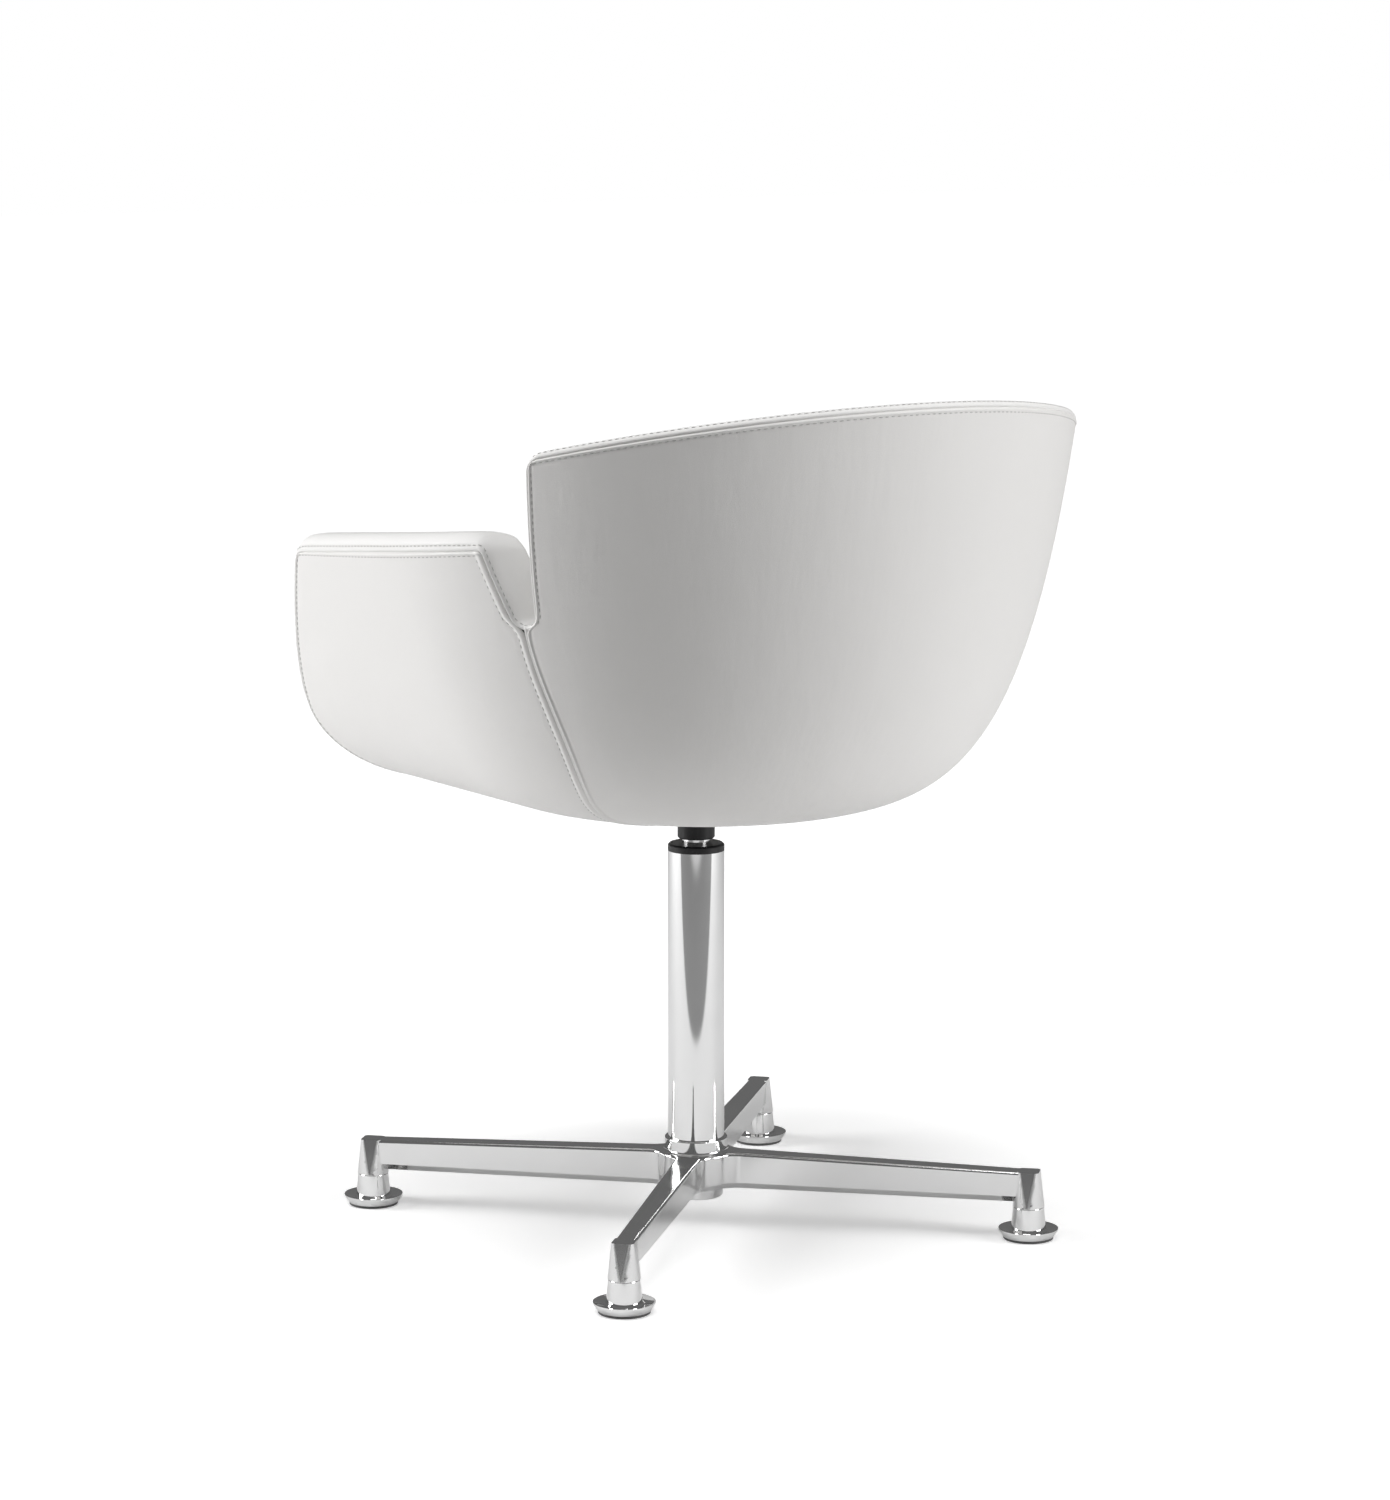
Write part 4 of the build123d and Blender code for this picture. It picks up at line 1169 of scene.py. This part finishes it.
# %% [markdown]
# ## The cover underneath
# A flat leather disc with a straight front closes the tub's floor round the seat plate. It starts as a
# filled circle whose front half is moved out to a straight edge, and gets a thickness and a turned edge.

# %% The underside cover
UNDER_R = 0.104
UNDER_Z = 0.3822
STRAIGHT_HALF = 0.103
FRONT_GAP = 0.001
WIDENED = 1.02
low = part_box("underside_cover")[0]
bpy.ops.object.select_all(action="DESELECT")
bpy.ops.mesh.primitive_circle_add(
    vertices=96, radius=UNDER_R, fill_type="NGON", location=(0, AXIS_Y, UNDER_Z)
)
under = bpy.context.object
under.name = "underside_leather"
bpy.ops.object.transform_apply(location=True, rotation=True, scale=True)
disc = np.empty(len(under.data.vertices) * 3)
under.data.vertices.foreach_get("co", disc)
disc = disc.reshape(-1, 3)
ahead = disc[:, 1] < AXIS_Y
moved = ahead & (np.abs(disc[:, 0]) < STRAIGHT_HALF)
disc[ahead, 1] = AXIS_Y
disc[moved, 1] = low[1] + FRONT_GAP
disc[moved, 0] = np.clip(disc[moved, 0] * WIDENED, -UNDER_R, UNDER_R)
under.data.vertices.foreach_set("co", disc.reshape(-1))
under.data.update()
finish_with(under, "SOLIDIFY", thickness=0.0030, offset=1.0)
finish_with(under, "BEVEL", width=0.0008, segments=2, limit_method="ANGLE")
dress(under, white_leather, None, "underside_cover")
alone(under)
bpy.ops.object.shade_smooth_by_angle(angle=math.radians(40))

# %% [markdown]
# ## The studio floor
# A white floor that runs out of sight. It adds a little of its own white for the camera, less near the
# chair, and keeps the shadow. In a real studio the room behind the camera is dark, and polished metal
# shows that as streaks. Here the floor has a darker strip towards the camera. The camera sees it as
# white, and only the metal and the light that the floor throws back show it.

# %% Floor
FLOOR_DROP = 0.0003
TO_CAMERA = (0.55, 0.83)
STRIP_FROM = 0.70
STRIP_SCALE = 0.7
STRIP_DARK = 0.68
bpy.ops.object.select_all(action="DESELECT")
bpy.ops.mesh.primitive_plane_add(size=40.0, location=(0, 0, -FLOOR_DROP))
floor = bpy.context.object
floor.name = "studio_floor"
floor_finish, floor_shader, floor_place = new_finish("studio_white", Roughness=0.9, Specular_IOR_Level=0.0)
paper = floor_place.noise(3.0, 2.0, 0.5)
away_x, away_y = floor_place.axis(0), floor_place.axis(1)
towards = (away_x * TO_CAMERA[0] + away_y * TO_CAMERA[1] - STRIP_FROM) * STRIP_SCALE
strip = towards.ramp((0.03, BLACK), (0.06, WHITE), (0.70, WHITE), (0.76, BLACK))
feed(floor_shader, "Base Color", 0.90 + paper * 0.02 - strip * STRIP_DARK)
tree = floor_finish.node_tree
path = tree.nodes.new("ShaderNodeLightPath")
seen = Term(tree, path.outputs["Is Camera Ray"]) + Term(tree, path.outputs["Is Glossy Ray"]) * 0.10
far_square = away_x * away_x + away_y * away_y
white_by_distance = far_square.ramp((0.0, grey(0.30)), (0.12, grey(0.42)), (0.5, grey(0.82)), (1.0, WHITE))
glow = seen.node("ShaderNodeEmission", None, Color=white_by_distance, Strength=seen)
both = seen.node("ShaderNodeAddShader")
tree.links.new(floor_shader.outputs[0], both.inputs[0])
tree.links.new(glow.outputs[0], both.inputs[1])
tree.links.new(both.outputs[0], tree.nodes["Material Output"].inputs[0])
floor.data.materials.append(floor_finish)
print("floor ready")

# %% [markdown]
# ## Lights and sky
# Two large soft lights stand at the sides and a weaker one hangs above, so the side of the back that
# faces the camera falls into grey, as in the photograph. The sky is white to the camera, and only a
# weak fill to everything else.


# %% Lights and sky
LAMP_SIZE = 1.6
SKY_FILL = 0.06
SKY_IN_METAL = 0.09


def soft_light(name, place, aim, power):
    """A square soft light that points at a place on the chair."""
    bpy.ops.object.select_all(action="DESELECT")
    bpy.ops.object.light_add(type="AREA", location=place)
    lamp = bpy.context.object
    lamp.name = name
    lamp.data.shape = "RECTANGLE"
    lamp.data.size = LAMP_SIZE
    lamp.data.size_y = LAMP_SIZE
    lamp.data.energy = power
    lamp.rotation_euler = facing_along([b - a for a, b in zip(place, aim)])


soft_light("left_soft_light", (2.7, -1.9, 1.3), (0, 0, 0.6), 84.0)
soft_light("right_soft_light", (-1.96, 2.6, 1.3), (0, 0, 0.55), 63.0)
soft_light("top_soft_light", (0.5, 0.6, 3.0), (0, 0, 0.4), 42.0)
sky = bpy.data.worlds.new("studio_sky")
bpy.context.scene.world = sky
sky.use_nodes = True
tree = sky.node_tree
path = tree.nodes.new("ShaderNodeLightPath")
to_camera = Term(tree, path.outputs["Is Camera Ray"]) * (1.0 - SKY_FILL)
to_metal = Term(tree, path.outputs["Is Glossy Ray"]) * SKY_IN_METAL
backdrop = tree.nodes["Background"]
backdrop.inputs["Color"].default_value = (*WHITE, 1.0)
tree.links.new((to_camera + to_metal + SKY_FILL).socket, backdrop.inputs["Strength"])
bpy.context.scene.view_settings.view_transform = "Standard"
print("lights ready")
